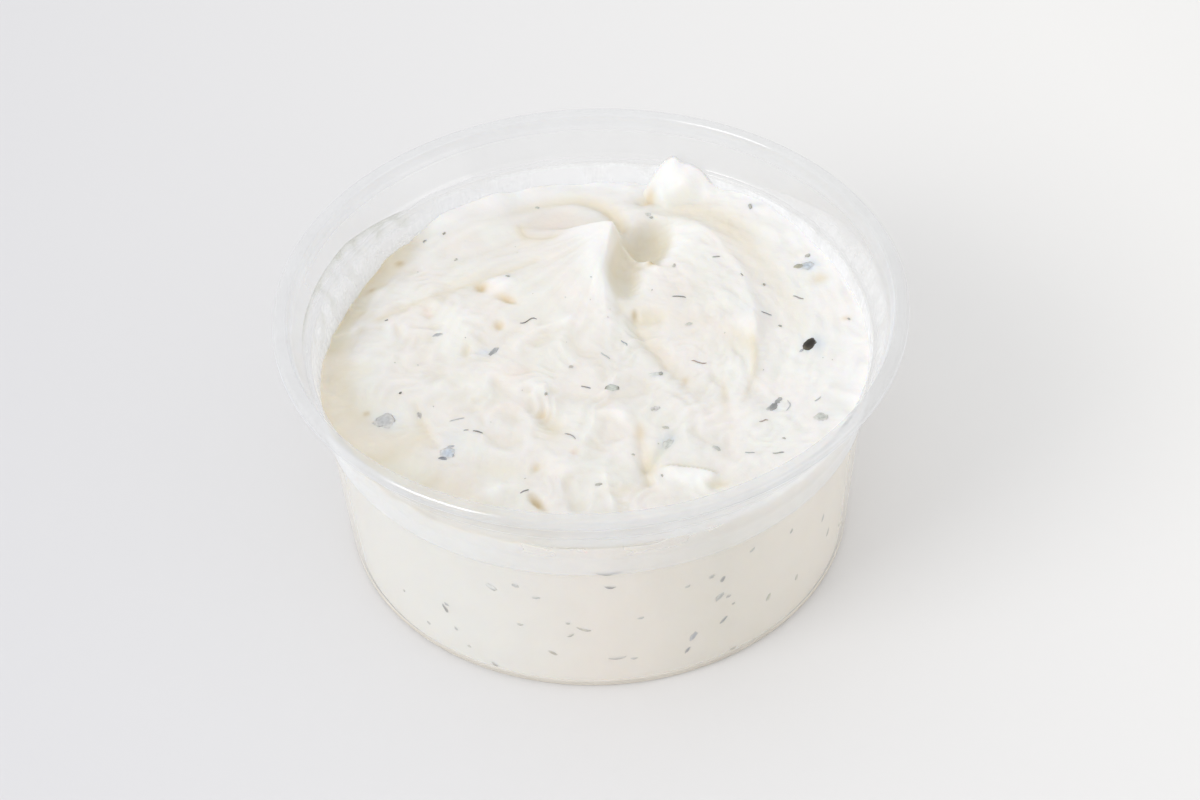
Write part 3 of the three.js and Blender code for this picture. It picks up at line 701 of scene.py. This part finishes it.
washes += [(TINTS["tan"], crest_height(x, y, line)) for line in GROOVE_SHADE_LINES]
washes += [(TINTS[tint], lump_height(x, y, (*spot, 1))) for *spot, tint in SPOTS]
colours = np.tile(CREAM, (len(x), 1))
for colour, strength in washes:
    colours = colours + np.clip(strength, 0, 1)[:, None] * (np.array(colour) - colours)


def tone_of(maker):
    """The layer of a mesh that holds the colour of each point."""
    layers = maker.verts.layers.float_color
    return layers.get("tone") or layers.new("tone")


tone = tone_of(dip_maker)
dip_maker.verts.ensure_lookup_table()
side_at, side_colours = zip(*SIDE_TONES_AND_SHADE)
for vert in dip_maker.verts[len(colours):]:
    vert[tone] = (*(np.interp(vert.co.x / MM, side_at, stops) for stops in zip(*side_colours)), 1)
for vert, colour in zip(dip_maker.verts, colours):
    vert[tone] = (*colour, 1)

dip_cream, cream_shader = finish_named(
    "yogurt_and_cucumber", Roughness=0.4, Subsurface_Weight=0.6, Subsurface_Radius=(1, 0.8, 0.55),
    Subsurface_Scale=0.0012, Specular_IOR_Level=0.4,
)


def toned(material, scale, low):
    """The piece's own tone at each place, a little darker in clouds of one size."""
    cloudiness = clouds(material, object_place(material), scale, 4.0, rough=0.6)
    tone = add_node(material, "Attribute", attribute_name="tone").outputs["Color"]
    return multiplied(material, tone, ramp(material, cloudiness, [(0.3, low), (0.65, 1)]))


link(dip_cream, toned(dip_cream, 160.0, 0.97), cream_shader.inputs["Base Color"])
curdled = clouds(dip_cream, object_place(dip_cream), 900.0, 3.0)
link(dip_cream, relief(dip_cream, curdled, strength=0.3, depth=0.2), cream_shader.inputs["Normal"])

dip = as_object("swirled_dip", dip_maker, dip_cream)
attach(dip, "root")
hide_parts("dip")


# ---- Herb flakes ----
# Torn bits of herb leaf and cracked pepper, wet with yogurt and half sunk in the top of the dip.
# Some are nearly black, and most are grey or bluish under a thin film of cream.
FLAKE_THICK = 0.6
# middle, length, width, turn in degrees, colour in its middle and at its ends, and how much cream veils it
FLAKES = [
    (40.6, -0.6, 3.5, 2, 54, (0.014, 0.01, 0.006), (0.1, 0.08, 0.035), (0.03, 0.025, 0.02), 0.1),
    (38.9, -2.4, 1.1, 0.5, 48, (0.5, 0.52, 0.56), (0.56, 0.58, 0.62), (0.4, 0.4, 0.38), 0.5),
    (-38.6, -16.2, 3.9, 3.9, 20, (0.56, 0.565, 0.57), (0.52, 0.52, 0.515), (0.52, 0.52, 0.51), 0.8),
    (-26.8, -25.6, 2.6, 3, 20, (0.56, 0.62, 0.7), (0.54, 0.59, 0.66), (0.58, 0.63, 0.7), 0.9),
    (-27.8, -26.9, 1.7, 0.8, -8, (0.26, 0.27, 0.3), (0.3, 0.31, 0.34), (0.4, 0.42, 0.46), 0.2),
    (-26.3, -23.9, 1.3, 0.5, 12, (0.45, 0.46, 0.48), (0.5, 0.51, 0.53), (0.48, 0.49, 0.51), 0.3),
    (-18.5, 1.1, 2.7, 1, 48, (0.38, 0.39, 0.4), (0.26, 0.26, 0.26), (0.56, 0.58, 0.6), 0.3),
    (32.5, -17, 2.8, 1.3, 62, (0.3, 0.31, 0.31), (0.4, 0.4, 0.39), (0.26, 0.26, 0.26), 0.3),
    (33.6, -15.3, 2, 0.8, 44, (0.4, 0.41, 0.41), (0.3, 0.3, 0.3), (0.46, 0.46, 0.46), 0.3),
    (31.7, -17.6, 1.2, 1, 70, (0.5, 0.51, 0.5), (0.54, 0.54, 0.53), (0.5, 0.5, 0.49), 0.5),
    (40.3, 21.4, 1.9, 1.1, 6, (0.4, 0.39, 0.3), (0.46, 0.44, 0.32), (0.42, 0.43, 0.4), 0.2),
    (42, 21.3, 2.6, 1.9, 0, (0.52, 0.58, 0.64), (0.5, 0.53, 0.55), (0.58, 0.63, 0.69), 0.8),
    (41, -20.6, 2.7, 2.1, 4, (0.56, 0.58, 0.54), (0.64, 0.66, 0.63), (0.62, 0.64, 0.61), 0.9),
    (3.3, -10.1, 2.8, 1.35, 2, (0.6, 0.63, 0.58), (0.2, 0.18, 0.13), (0.24, 0.22, 0.17), 0.1),
    (12.9, -25.2, 3, 1.5, 62, (0.62, 0.64, 0.6), (0.68, 0.69, 0.64), (0.62, 0.65, 0.61), 0.8),
    (18.4, 6.4, 1.3, 0.9, 10, (0.6, 0.6, 0.54), (0.68, 0.68, 0.62), (0.68, 0.67, 0.63), 0.7),
    (-29.1, 6.6, 1.9, 0.7, -6, (0.42, 0.43, 0.45), (0.6, 0.61, 0.62), (0.62, 0.63, 0.64), 0.5),
    (11.4, -7, 2.4, 0.9, 4, (0.68, 0.7, 0.67), (0.72, 0.73, 0.7), (0.5, 0.5, 0.48), 0.3),
    (-4.1, -4, 1, 0.7, 10, (0.54, 0.5, 0.45), (0.6, 0.58, 0.54), (0.6, 0.58, 0.54), 0.5),
    (12.6, -21.3, 1.4, 0.8, -28, (0.5, 0.5, 0.44), (0.6, 0.6, 0.53), (0.62, 0.64, 0.48), 0.5),
    (21.5, -27.3, 1.8, 1, -48, (0.53, 0.55, 0.52), (0.62, 0.64, 0.62), (0.48, 0.5, 0.48), 0.6),
    (0, -35.8, 1.5, 0.8, 8, (0.48, 0.48, 0.43), (0.56, 0.56, 0.51), (0.44, 0.44, 0.4), 0.4),
    (-32.2, -14.9, 0.8, 1.7, 12, (0.46, 0.44, 0.42), (0.55, 0.53, 0.5), (0.55, 0.53, 0.5), 0.5),
    (11, -16.3, 1.6, 1.2, 0, (0.62, 0.6, 0.59), (0.68, 0.67, 0.65), (0.66, 0.65, 0.63), 0.7),
    (12.2, 39.9, 1.3, 0.8, -30, (0.62, 0.63, 0.59), (0.66, 0.66, 0.62), (0.66, 0.66, 0.62), 0.6),
    (-9.6, 44.6, 0.9, 0.8, 0, (0.5, 0.52, 0.47), (0.56, 0.58, 0.53), (0.56, 0.58, 0.53), 0.3),
]


def laid(verts, at_x, at_y, turn, lift=0.0):
    """Lays what lies flat at the origin on the dip at its place, turned, and bent to follow the surface."""
    flat = np.array([vert.co[:] for vert in verts]) / MM
    cos, sin = math.cos(math.radians(turn)), math.sin(math.radians(turn))
    across = at_x + cos * flat[:, 0] - sin * flat[:, 1]
    along = at_y + sin * flat[:, 0] + cos * flat[:, 1]
    put(verts, across, along, top_height(across, along) + lift + flat[:, 2])


def uneven(place, fineness, *shift):
    """A soft random value, mostly from -1 to 1, that a shift makes different for each bit."""
    return noise.noise(place * fineness + Vector(shift or (0, 0, 0)))


def flake(maker, seed, at_x, at_y, long, wide, turn, middle, start, end, veil):
    tone = tone_of(maker)
    thick = FLAKE_THICK * (1 - 0.75 * veil)
    verts = bmesh.ops.create_icosphere(maker, subdivisions=3, radius=0.5)["verts"]
    for vert in verts:
        ragged = 1 + 0.3 * uneven(vert.co, 3.4, seed * 7.3, 0, 0) + 0.2 * uneven(vert.co, 9)
        along, out = 2 * vert.co.x, min(1, 2 * vert.co.xy.length)
        colour = Vector(middle).lerp(Vector(end if along > 0 else start), min(1, 1.3 * abs(along) ** 3))
        colour *= 1 + 0.3 * uneven(vert.co, 6, 0, seed * 3.1, 0)
        vert[tone] = (*colour.lerp(Vector(CREAM), veil * out**3), 1)
        flat_top = math.copysign(min(abs(vert.co.z), 0.34), vert.co.z)
        vert.co = Vector((vert.co.x * long * ragged, vert.co.y * wide * ragged, flat_top * thick)) * MM
    laid(verts, at_x, at_y, turn, -0.1 * thick)


flake_maker = bmesh.new()
for seed, piece in enumerate(FLAKES):
    flake(flake_maker, seed, *piece)

herb_leaf, leaf_shader = finish_named("wet_herb_leaf", Roughness=0.45, Specular_IOR_Level=0.4)
link(herb_leaf, toned(herb_leaf, 1500.0, 0.8), leaf_shader.inputs["Base Color"])
veins = clouds(herb_leaf, object_place(herb_leaf), 2200.0, 2.0)
link(herb_leaf, relief(herb_leaf, veins, strength=0.3, depth=0.1), leaf_shader.inputs["Normal"])

flakes = as_object("herb_flakes", flake_maker, herb_leaf)
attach(flakes, "root")


# ---- Dill strands and specks ----
# Chopped dill leaf tips, thin as thread and a few millimetres long, and specks of herb dust.
# They lie in the surface, each with a bend of its own.
STRAND_ROUND = 0.12
STRAND_CUTS = 7
DILL_GREY = (0.25, 0.245, 0.23)
DILL_BROWN = (0.42, 0.33, 0.29)
PALE_DILL = (0.5, 0.51, 0.49)
# middle, length, turn in degrees, bow and wave as shares of the length, and colour
STRANDS = [
    (-11.8, 8.6, 3.2, 8, -0.08, 0.1, DILL_GREY), (17, 14.3, 2.6, -10, -0.03, 0.02, DILL_GREY),
    (24.7, 23.9, 1.5, 4, 0.02, 0, (0.4, 0.4, 0.38)), (39.6, 12.6, 2.2, -30, 0.04, -0.03, (0.34, 0.33, 0.31)),
    (33.2, 8.2, 2, -10, 0.02, 0, (0.36, 0.35, 0.33)), (19.7, -4.4, 3, -22, 0.05, -0.04, DILL_BROWN),
    (-1.5, -9.5, 1.9, -22, 0, 0, (0.3, 0.3, 0.29)), (-4.6, -22.4, 2.6, -42, -0.14, 0, (0.4, 0.38, 0.36)),
    (-21.4, -20.3, 2, -24, -0.05, 0, DILL_GREY), (-23.6, -19.8, 0.9, 10, 0, 0, PALE_DILL),
    (-25.3, -16.8, 2.8, 18, -0.03, 0, (0.58, 0.59, 0.57)), (30.5, -21, 1.7, 14, 0, 0.02, (0.48, 0.41, 0.38)),
    (-13.2, -36.3, 1.7, 24, -0.08, 0, (0.3, 0.29, 0.29)), (6.1, 1.8, 2, -58, -0.1, 0.05, (0.42, 0.44, 0.46)),
    (2.4, -1.4, 2.4, -48, 0, 0.03, (0.52, 0.54, 0.53)), (27.4, -28.9, 1.8, -14, 0.05, 0.05, PALE_DILL),
    (32.5, -29.5, 2.1, 2, 0, 0.03, (0.36, 0.37, 0.34)), (29.3, 19.1, 0.8, -60, 0, 0, (0.42, 0.42, 0.38)),
    (35.4, -16.8, 2.8, 80, 0.2, 0, (0.56, 0.57, 0.57)), (40.8, -16, 1.6, 42, 0.1, 0, (0.6, 0.61, 0.59)),
]
# middle, size across, and how light its grey is
SPECKS = [
    (-38.9, 13.2, 0.6, 0.34), (-35.8, -8.8, 0.55, 0.2), (33.4, 17, 0.6, 0.35), (35.5, 4.8, 0.6, 0.42),
    (-32, 36.5, 0.6, 0.4), (-28.1, 37.5, 0.6, 0.38), (32.2, 37.2, 0.9, 0.5), (12.8, 38.9, 0.6, 0.5),
    (42.3, 23.8, 0.9, 0.58), (-8.9, -11.2, 0.6, 0.45), (11.4, -34, 0.5, 0.45), (33.8, -25.8, 0.5, 0.5),
    (10.6, -16.5, 0.6, 0.55), (16.5, 22.7, 0.7, 0.55), (48.5, 5.1, 0.5, 0.45), (-15.6, 21, 0.7, 0.5),
    (-25.7, 28.7, 0.6, 0.55), (12.5, -7, 0.9, 0.46), (-33.2, 26.8, 0.4, 0.55), (6.5, -28, 0.5, 0.55),
]
DUST = 24
DUST_SEED = 71


def strand(maker, at_x, at_y, long, turn, bow, wave, colour):
    tone = tone_of(maker)
    verts = bmesh.ops.create_circle(maker, cap_ends=True, segments=6, radius=STRAND_ROUND)["verts"]
    bmesh.ops.translate(maker, vec=(0, 0, -0.5), verts=verts)
    ring = list({edge for vert in verts for edge in vert.link_edges})
    for _ in range(STRAND_CUTS):
        made = bmesh.ops.extrude_edge_only(maker, edges=ring)["geom"]
        ring = [item for item in made if isinstance(item, bmesh.types.BMEdge)]
        ring = [edge for edge in ring if len(edge.link_faces) == 1]
        ends = [item for item in made if isinstance(item, bmesh.types.BMVert)]
        bmesh.ops.translate(maker, vec=(0, 0, 1 / STRAND_CUTS), verts=ends)
        verts += ends
    bmesh.ops.contextual_create(maker, geom=ring)
    for vert in verts:
        across, up, along = vert.co
        thin = 1 - 0.6 * (2 * along) ** 6
        bend = long * (bow * (4 * along**2 - 0.4) + wave * math.sin(math.tau * along))
        vert[tone] = (*colour, 1)
        vert.co = Vector((along * long, bend + across * thin, up * thin)) * MM
    laid(verts, at_x, at_y, turn, 0.04)


def speck(maker, seed, at_x, at_y, size, grey):
    tone = tone_of(maker)
    verts = bmesh.ops.create_icosphere(maker, subdivisions=1 if size < 0.5 else 2, radius=0.5)["verts"]
    for vert in verts:
        ragged = 1 + 0.5 * uneven(vert.co, 3, seed * 5.7, 0, 0)
        vert[tone] = (grey, grey, 0.9 * grey, 1)
        vert.co = Vector((vert.co.x * 1.3, vert.co.y * 0.8, vert.co.z * 0.6)) * ragged * size * MM
    laid(verts, at_x, at_y, 47 * seed, 0.02)


dill_maker = bmesh.new()
for piece in STRANDS:
    strand(dill_maker, *piece)
for seed, piece in enumerate(SPECKS):
    speck(dill_maker, seed, *piece)
draw = random.Random(DUST_SEED)
for seed in range(DUST):
    reach, way = 46 * math.sqrt(draw.random()), draw.uniform(0, math.tau)
    at_x, at_y = reach * math.cos(way), reach * math.sin(way)
    speck(dill_maker, seed, at_x, at_y, draw.uniform(0.2, 0.34), draw.uniform(0.5, 0.68))
bmesh.ops.recalc_face_normals(dill_maker, faces=dill_maker.faces)

dill = as_object("dill_strands", dill_maker, herb_leaf)
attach(dill, "root")


# ---- Herbs against the wall ----
# The same dill and leaf bits where they lie against the cup's wall and show through it.
# They press a little into the plastic's inner face, so that the dip doesn't cover them.

# direction in degrees, height, length, width, turn from level in degrees, and colour
WALL_BITS = [
    (-126.7, 13.1, 2.4, 0.8, -58, (0.2, 0.2, 0.2)), (-126.2, 14.6, 1, 0.5, -30, (0.44, 0.46, 0.47)),
    (-88.9, 31.6, 4.2, 0.45, 0, (0.14, 0.15, 0.15)), (-88.6, 27.8, 2, 0.6, -8, (0.26, 0.26, 0.26)),
    (-82.4, 18.4, 1.2, 0.5, 12, (0.47, 0.48, 0.47)), (-64.1, 23.2, 1.6, 0.9, 62, (0.26, 0.27, 0.27)),
    (-66.8, 25, 1.2, 0.8, 20, (0.49, 0.49, 0.46)), (-64.6, 18.6, 2.3, 1, 38, (0.47, 0.48, 0.46)),
    (-62.4, 17.6, 1, 0.7, 0, (0.49, 0.48, 0.46)), (-61.1, 14.9, 0.7, 0.5, 0, (0.44, 0.44, 0.41)),
    (-63.4, 11.4, 2.2, 0.7, 42, (0.24, 0.25, 0.26)), (-70.6, 9.9, 2.6, 1.1, 58, (0.38, 0.4, 0.46)),
    (-71.9, 6.3, 1.8, 0.7, 55, (0.26, 0.27, 0.3)), (-94.5, 16.2, 3, 0.5, -18, (0.52, 0.49, 0.4)),
    (-97.3, 14.4, 1.4, 0.5, 40, (0.41, 0.4, 0.34)), (-101.6, 8.9, 1.8, 0.7, -32, (0.47, 0.43, 0.34)),
    (-115.6, 1.9, 1.5, 0.6, -30, (0.4, 0.39, 0.37)), (-104.1, 24.2, 1.6, 0.5, 6, (0.53, 0.55, 0.54)),
    (-51.2, 11, 1.7, 1, 70, (0.59, 0.58, 0.44)), (-113.9, 24.8, 2.4, 1.2, -30, (0.84, 0.86, 0.85)),
    (-132.9, 5.5, 1.1, 0.6, -20, (0.52, 0.53, 0.53)), (-124.6, 8.4, 1, 0.6, -50, (0.55, 0.57, 0.58)),
    (-108.3, 15.8, 1.2, 0.5, 0, (0.59, 0.58, 0.53)), (-72.2, 24.5, 1.1, 0.5, 10, (0.49, 0.49, 0.48)),
    (-87.5, 7.6, 3.4, 0.5, 4, (0.58, 0.55, 0.53)), (-83.9, 7.1, 1.4, 0.5, 0, (0.59, 0.57, 0.55)),
    (-108.4, 26.7, 1.4, 0.8, -20, (0.58, 0.59, 0.59)), (-45.7, 25.6, 1, 0.6, 60, (0.52, 0.52, 0.49)),
    (-28.9, 13, 2.2, 0.6, 66, (0.58, 0.56, 0.53)), (-42, 10.3, 1.6, 0.8, 70, (0.63, 0.6, 0.52)),
    (-60.4, 1.6, 1.2, 0.7, 0, (0.56, 0.53, 0.44)), (-121.7, 4.7, 0.9, 0.5, -30, (0.59, 0.58, 0.52)),
    (-33, 20, 2, 0.5, 68, (0.56, 0.57, 0.56)), (-139.9, 10.2, 0.7, 0.5, 0, (0.59, 0.59, 0.58)),
    (-97.8, 17.8, 0.9, 0.5, 0, (0.55, 0.54, 0.49)), (-57, 27.5, 1.3, 0.5, 30, (0.55, 0.56, 0.55)),
]
# Those at the back lie where they fell: limits of their direction, height, length, width and turn.
HIDDEN_LIMITS = [(-22, 215), (3, 31), (0.6, 2.4), (0.3, 0.7), (-80, 80)]
HIDDEN_SEED = 53
HIDDEN_BITS = 44


def wall_bit(maker, seed, way, height, long, wide, turn, colour):
    tone = tone_of(maker)
    verts = bmesh.ops.create_icosphere(maker, subdivisions=2, radius=0.5)["verts"]
    for vert in verts:
        ragged = 1 + 0.4 * uneven(vert.co, 3.2, seed * 4.1, 0, 0)
        bend = 0.12 * long * (4 * vert.co.x**2 - 0.3) if wide < 0.65 else 0
        shade = 0.85 + 0.3 * uneven(vert.co, 5, 0, seed * 2.3, 0)
        out = 2 * math.hypot(vert.co.x, vert.co.y)
        vert[tone] = (*(Vector(colour) * shade).lerp(Vector(CREAM), 0.6 * min(1, out) ** 2.5), 1)
        vert.co = Vector((vert.co.x * long * ragged, vert.co.z * 0.24, vert.co.y * wide * ragged + bend)) * MM
    radius = float(inside_radius(height)) + INTO_WALL + 0.02
    place = (
        Matrix.Rotation(math.radians(way + 90), 4, "Z") @ Matrix.Translation((0, -radius * MM, height * MM))
        @ Matrix.Rotation(math.radians(-turn), 4, "Y")
    )
    bmesh.ops.transform(maker, matrix=place, verts=verts)


wall_maker = bmesh.new()
for seed, piece in enumerate(WALL_BITS):
    wall_bit(wall_maker, seed, *piece)
draw = random.Random(HIDDEN_SEED)
for seed in range(HIDDEN_BITS):
    grey = draw.uniform(0.35, 0.65)
    way, height, long, wide, turn = (draw.uniform(*limits) for limits in HIDDEN_LIMITS)
    wall_bit(
        wall_maker, seed + 100, way, height, long, wide, turn, (grey, grey, grey * draw.uniform(0.75, 1.1)),
    )

wall_herbs = as_object("wall_herbs", wall_maker, herb_leaf)
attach(wall_herbs, "root")


# ---- Smears on the wall ----
# A thin film of yogurt that the spoon and the sloshing left on the wall, from the dip up to the lid's ledge
# and over it on the left and right. It is thickest next to the dip, streaked up and down, and torn.
FILM_STEPS = 384
FILM_ROWS = 14
FILM_TOP = 44.15
FILM_THICK = 0.1
FILM_INSET = 0.03
FILM_UNDER = 0.5  # how far it reaches down below the dip's edge
FILM_WHITE = (0.975, 0.978, 0.985)
WHEY = (0.74, 0.75, 0.67)
# direction in degrees, and how much of the wall the film covers there
FILM_COVER = [
    (0, 0.8), (35, 0.95), (60, 1.4), (80, 1.7), (110, 1.4), (130, 0.7), (145, 0.35), (158, 0.35), (166, 0.7),
    (178, 0.5), (195, 0.3), (225, 0.25), (270, 0.4), (315, 0.5), (360, 0.8),
]

# direction in degrees, how high the smears reach there, and how much of the wall they cover over the ledge
SMEARS = [
    (0, 49.8, 0.42), (25, 49, 0.38), (45, 46, 0.2), (56, 44.15, 0), (130, 44.15, 0), (150, 46.5, 0),
    (174, 46.5, 0), (190, 46, 0.1), (205, 44.15, 0), (325, 44.15, 0), (342, 49, 0.35), (360, 49.8, 0.42),
]

film_maker = turned([(1, row / FILM_ROWS) for row in range(FILM_ROWS + 1)], FILM_STEPS)
spun = np.array([vert.co[:] for vert in film_maker.verts]) / MM
way, up_film = np.arctan2(spun[:, 1], spun[:, 0]), spun[:, 2]
degrees = np.degrees(way) % 360
film_foot = edge_height(way) - FILM_UNDER
smear_ways, smear_tops, smear_covers = zip(*SMEARS)
film_height = film_foot + (np.interp(degrees, smear_ways, smear_tops) - film_foot) * up_film
to_ledge = (film_height - film_foot) / (FILM_TOP - film_foot)
torn = rolling(52 * way, 9 * up_film, size=5, seed=62)

# Under the ledge: it thins on the way up, is whole at the dip's edge, and fades below the ledge.
cover = np.interp(degrees, *zip(*FILM_COVER)) * (1.25 - 0.6 * to_ledge)
cover *= 1 + 0.35 * rolling(50 * way, 3 * to_ledge, size=7, seed=61)
cover = np.maximum(cover, 1.2 - 5 * to_ledge)
cover *= 1 - np.clip((to_ledge - 0.8) / 0.2, 0, 1) * 0.85
# Over the ledge: an even smear that fades at its top.
over_ledge = np.clip(8 * (to_ledge - 1), 0, 1) * np.clip(6 * (1 - up_film), 0, 1)
cover = np.maximum(cover, np.interp(degrees, smear_ways, smear_covers) * over_ledge * (1 + 0.12 * torn))
# On the left it hangs in patches with streaks of whey, and in front juice has run along the dip's edge.
patches = between(degrees, 136, 168, 8) * between(up_film, 0.1, 0.5, 0.14) * np.clip(0.6 + torn, 0, 1)
runs = 0.7 * between(up_film, 0.5, 0.95, 0.1) * np.clip(-torn - 0.2, 0, 1)
whey = between(degrees, 138, 176, 7) * np.clip(between(up_film, 0.95, 1, 0.03) + runs, 0, 1)
juice = between(degrees, 263, 279, 3) * between(film_height, 38, 39.9, 0.4)
cover *= 1 - 0.5 * between(degrees, 136, 190, 8)
cover = np.max([cover, 1.4 * patches, 0.4 * whey, 0.9 * juice], axis=0)

tone = tone_of(film_maker)
film_radius = inside_radius(film_height) - FILM_INSET
put(film_maker.verts, film_radius * np.cos(way), film_radius * np.sin(way), film_height)
for vert, covered, wet, tan in zip(film_maker.verts, cover, whey, juice):
    colour = Vector(FILM_WHITE).lerp(Vector(WHEY), min(1, 1.2 * wet)).lerp(Vector(TINTS["tan"]), 0.6 * tan)
    vert[tone] = (*colour, covered)
bmesh.ops.solidify(film_maker, geom=film_maker.faces[:], thickness=FILM_THICK * MM)
bmesh.ops.recalc_face_normals(film_maker, faces=film_maker.faces)

thin_cream, film_shader = finish_named("thin_yogurt_film", Roughness=0.45, Specular_IOR_Level=0.3)
place = object_place(thin_cream)
streaks = clouds(thin_cream, stretched_up(thin_cream, place, 0.18), 420.0, 3.0)
blotches = clouds(thin_cream, place, 130.0, 3.0)
film_tone = add_node(thin_cream, "Attribute", attribute_name="tone").outputs
film_colour, covered = film_tone["Color"], film_tone["Alpha"]
link(thin_cream, film_colour, film_shader.inputs["Base Color"])
streaked = calculated(thin_cream, "MULTIPLY", ramp(thin_cream, streaks, [(0.35, 0.7), (0.62, 1)]), covered)
film_share = calculated(thin_cream, "MULTIPLY", ramp(thin_cream, blotches, [(0.36, 0.5), (0.6, 1)]), streaked)
film_glow = add_node(thin_cream, "BsdfTranslucent", {"Color": film_colour})
film_clear = add_node(thin_cream, "BsdfTransparent", {"Color": (1, 1, 1, 1)})
film_lit = mixed_surface(thin_cream, 0.55, film_shader, film_glow)
wear(thin_cream, mixed_surface(thin_cream, film_share, film_clear, film_lit))

film = as_object("wall_smears", film_maker, thin_cream)
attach(film, "root")


# ---- Table, light and camera ----
# A pale table top painted darker and bluer to the left and lighter to the right, as painted light for the
# room being brighter on the right, a soft window light from the front left and a weaker one from the right,
# and an even pale room.
# the table's colour across it is a painted light gradient: darker and bluer on the left, lighter on the right
TABLE_TURN = -16
TABLE_CHANGES_OVER = 0.15
TABLE_PAINTED_LIGHT = [(0, (0.665, 0.663, 0.685)), (1, (0.86, 0.852, 0.84))]
table_maker = bmesh.new()
bmesh.ops.create_grid(table_maker, x_segments=2, y_segments=2, size=3)
table_paint, table_shader = finish_named("pale_table", Roughness=0.6, Specular_IOR_Level=0.3)
inputs = {"Vector": object_place(table_paint), "Rotation": (0, 0, math.radians(TABLE_TURN))}
turned_place = add_node(table_paint, "Mapping", inputs).outputs["Vector"]
across = add_node(table_paint, "SeparateXYZ", {"Vector": turned_place}).outputs["X"]
share_across = ranged(table_paint, across, taken=(-TABLE_CHANGES_OVER, TABLE_CHANGES_OVER))
link(table_paint, ramp(table_paint, share_across, TABLE_PAINTED_LIGHT), table_shader.inputs["Base Color"])
table = as_object("table_top", table_maker, table_paint)

room = bpy.data.worlds.new("pale_room")
bpy.context.scene.world = room
room.use_nodes = True
sky = room.node_tree.nodes["Background"].inputs
sky["Color"].default_value = (0.99, 0.995, 1, 1)
sky["Strength"].default_value = 0.92


def soft_light(name, where, towards, size, power, colour):
    lamp = bpy.data.lights.new(name, "AREA")
    lamp.shape = "RECTANGLE"
    lamp.size, lamp.size_y = size
    lamp.energy = power
    lamp.color = colour
    holder = bpy.data.objects.new(name, lamp)
    holder.location = where
    holder.rotation_euler = (Vector(towards) - Vector(where)).to_track_quat("-Z", "Y").to_euler()
    bpy.context.scene.collection.objects.link(holder)


soft_light(
    "window_light", where=(-0.83, -0.56, 0.7), towards=(0, 0, 0.02), size=(0.6, 0.6), power=5,
    colour=(1, 0.99, 0.98),
)
soft_light(
    "far_window", where=(1, -0.45, 0.3), towards=(0, 0, 0.03), size=(0.9, 0.5), power=0.95,
    colour=(1, 0.993, 0.98),
)

eye = bpy.data.cameras.new("eye")
eye.lens = 85
eye.sensor_width = 36
camera = bpy.data.objects.new("eye", eye)
camera.location = (0, -0.396678, 0.390905)
camera.rotation_euler = [math.radians(turn) for turn in (47.4726, 1.8542, -1.8490)]
bpy.context.scene.collection.objects.link(camera)
bpy.context.scene.camera = camera
bpy.context.scene.view_settings.view_transform = "Standard"
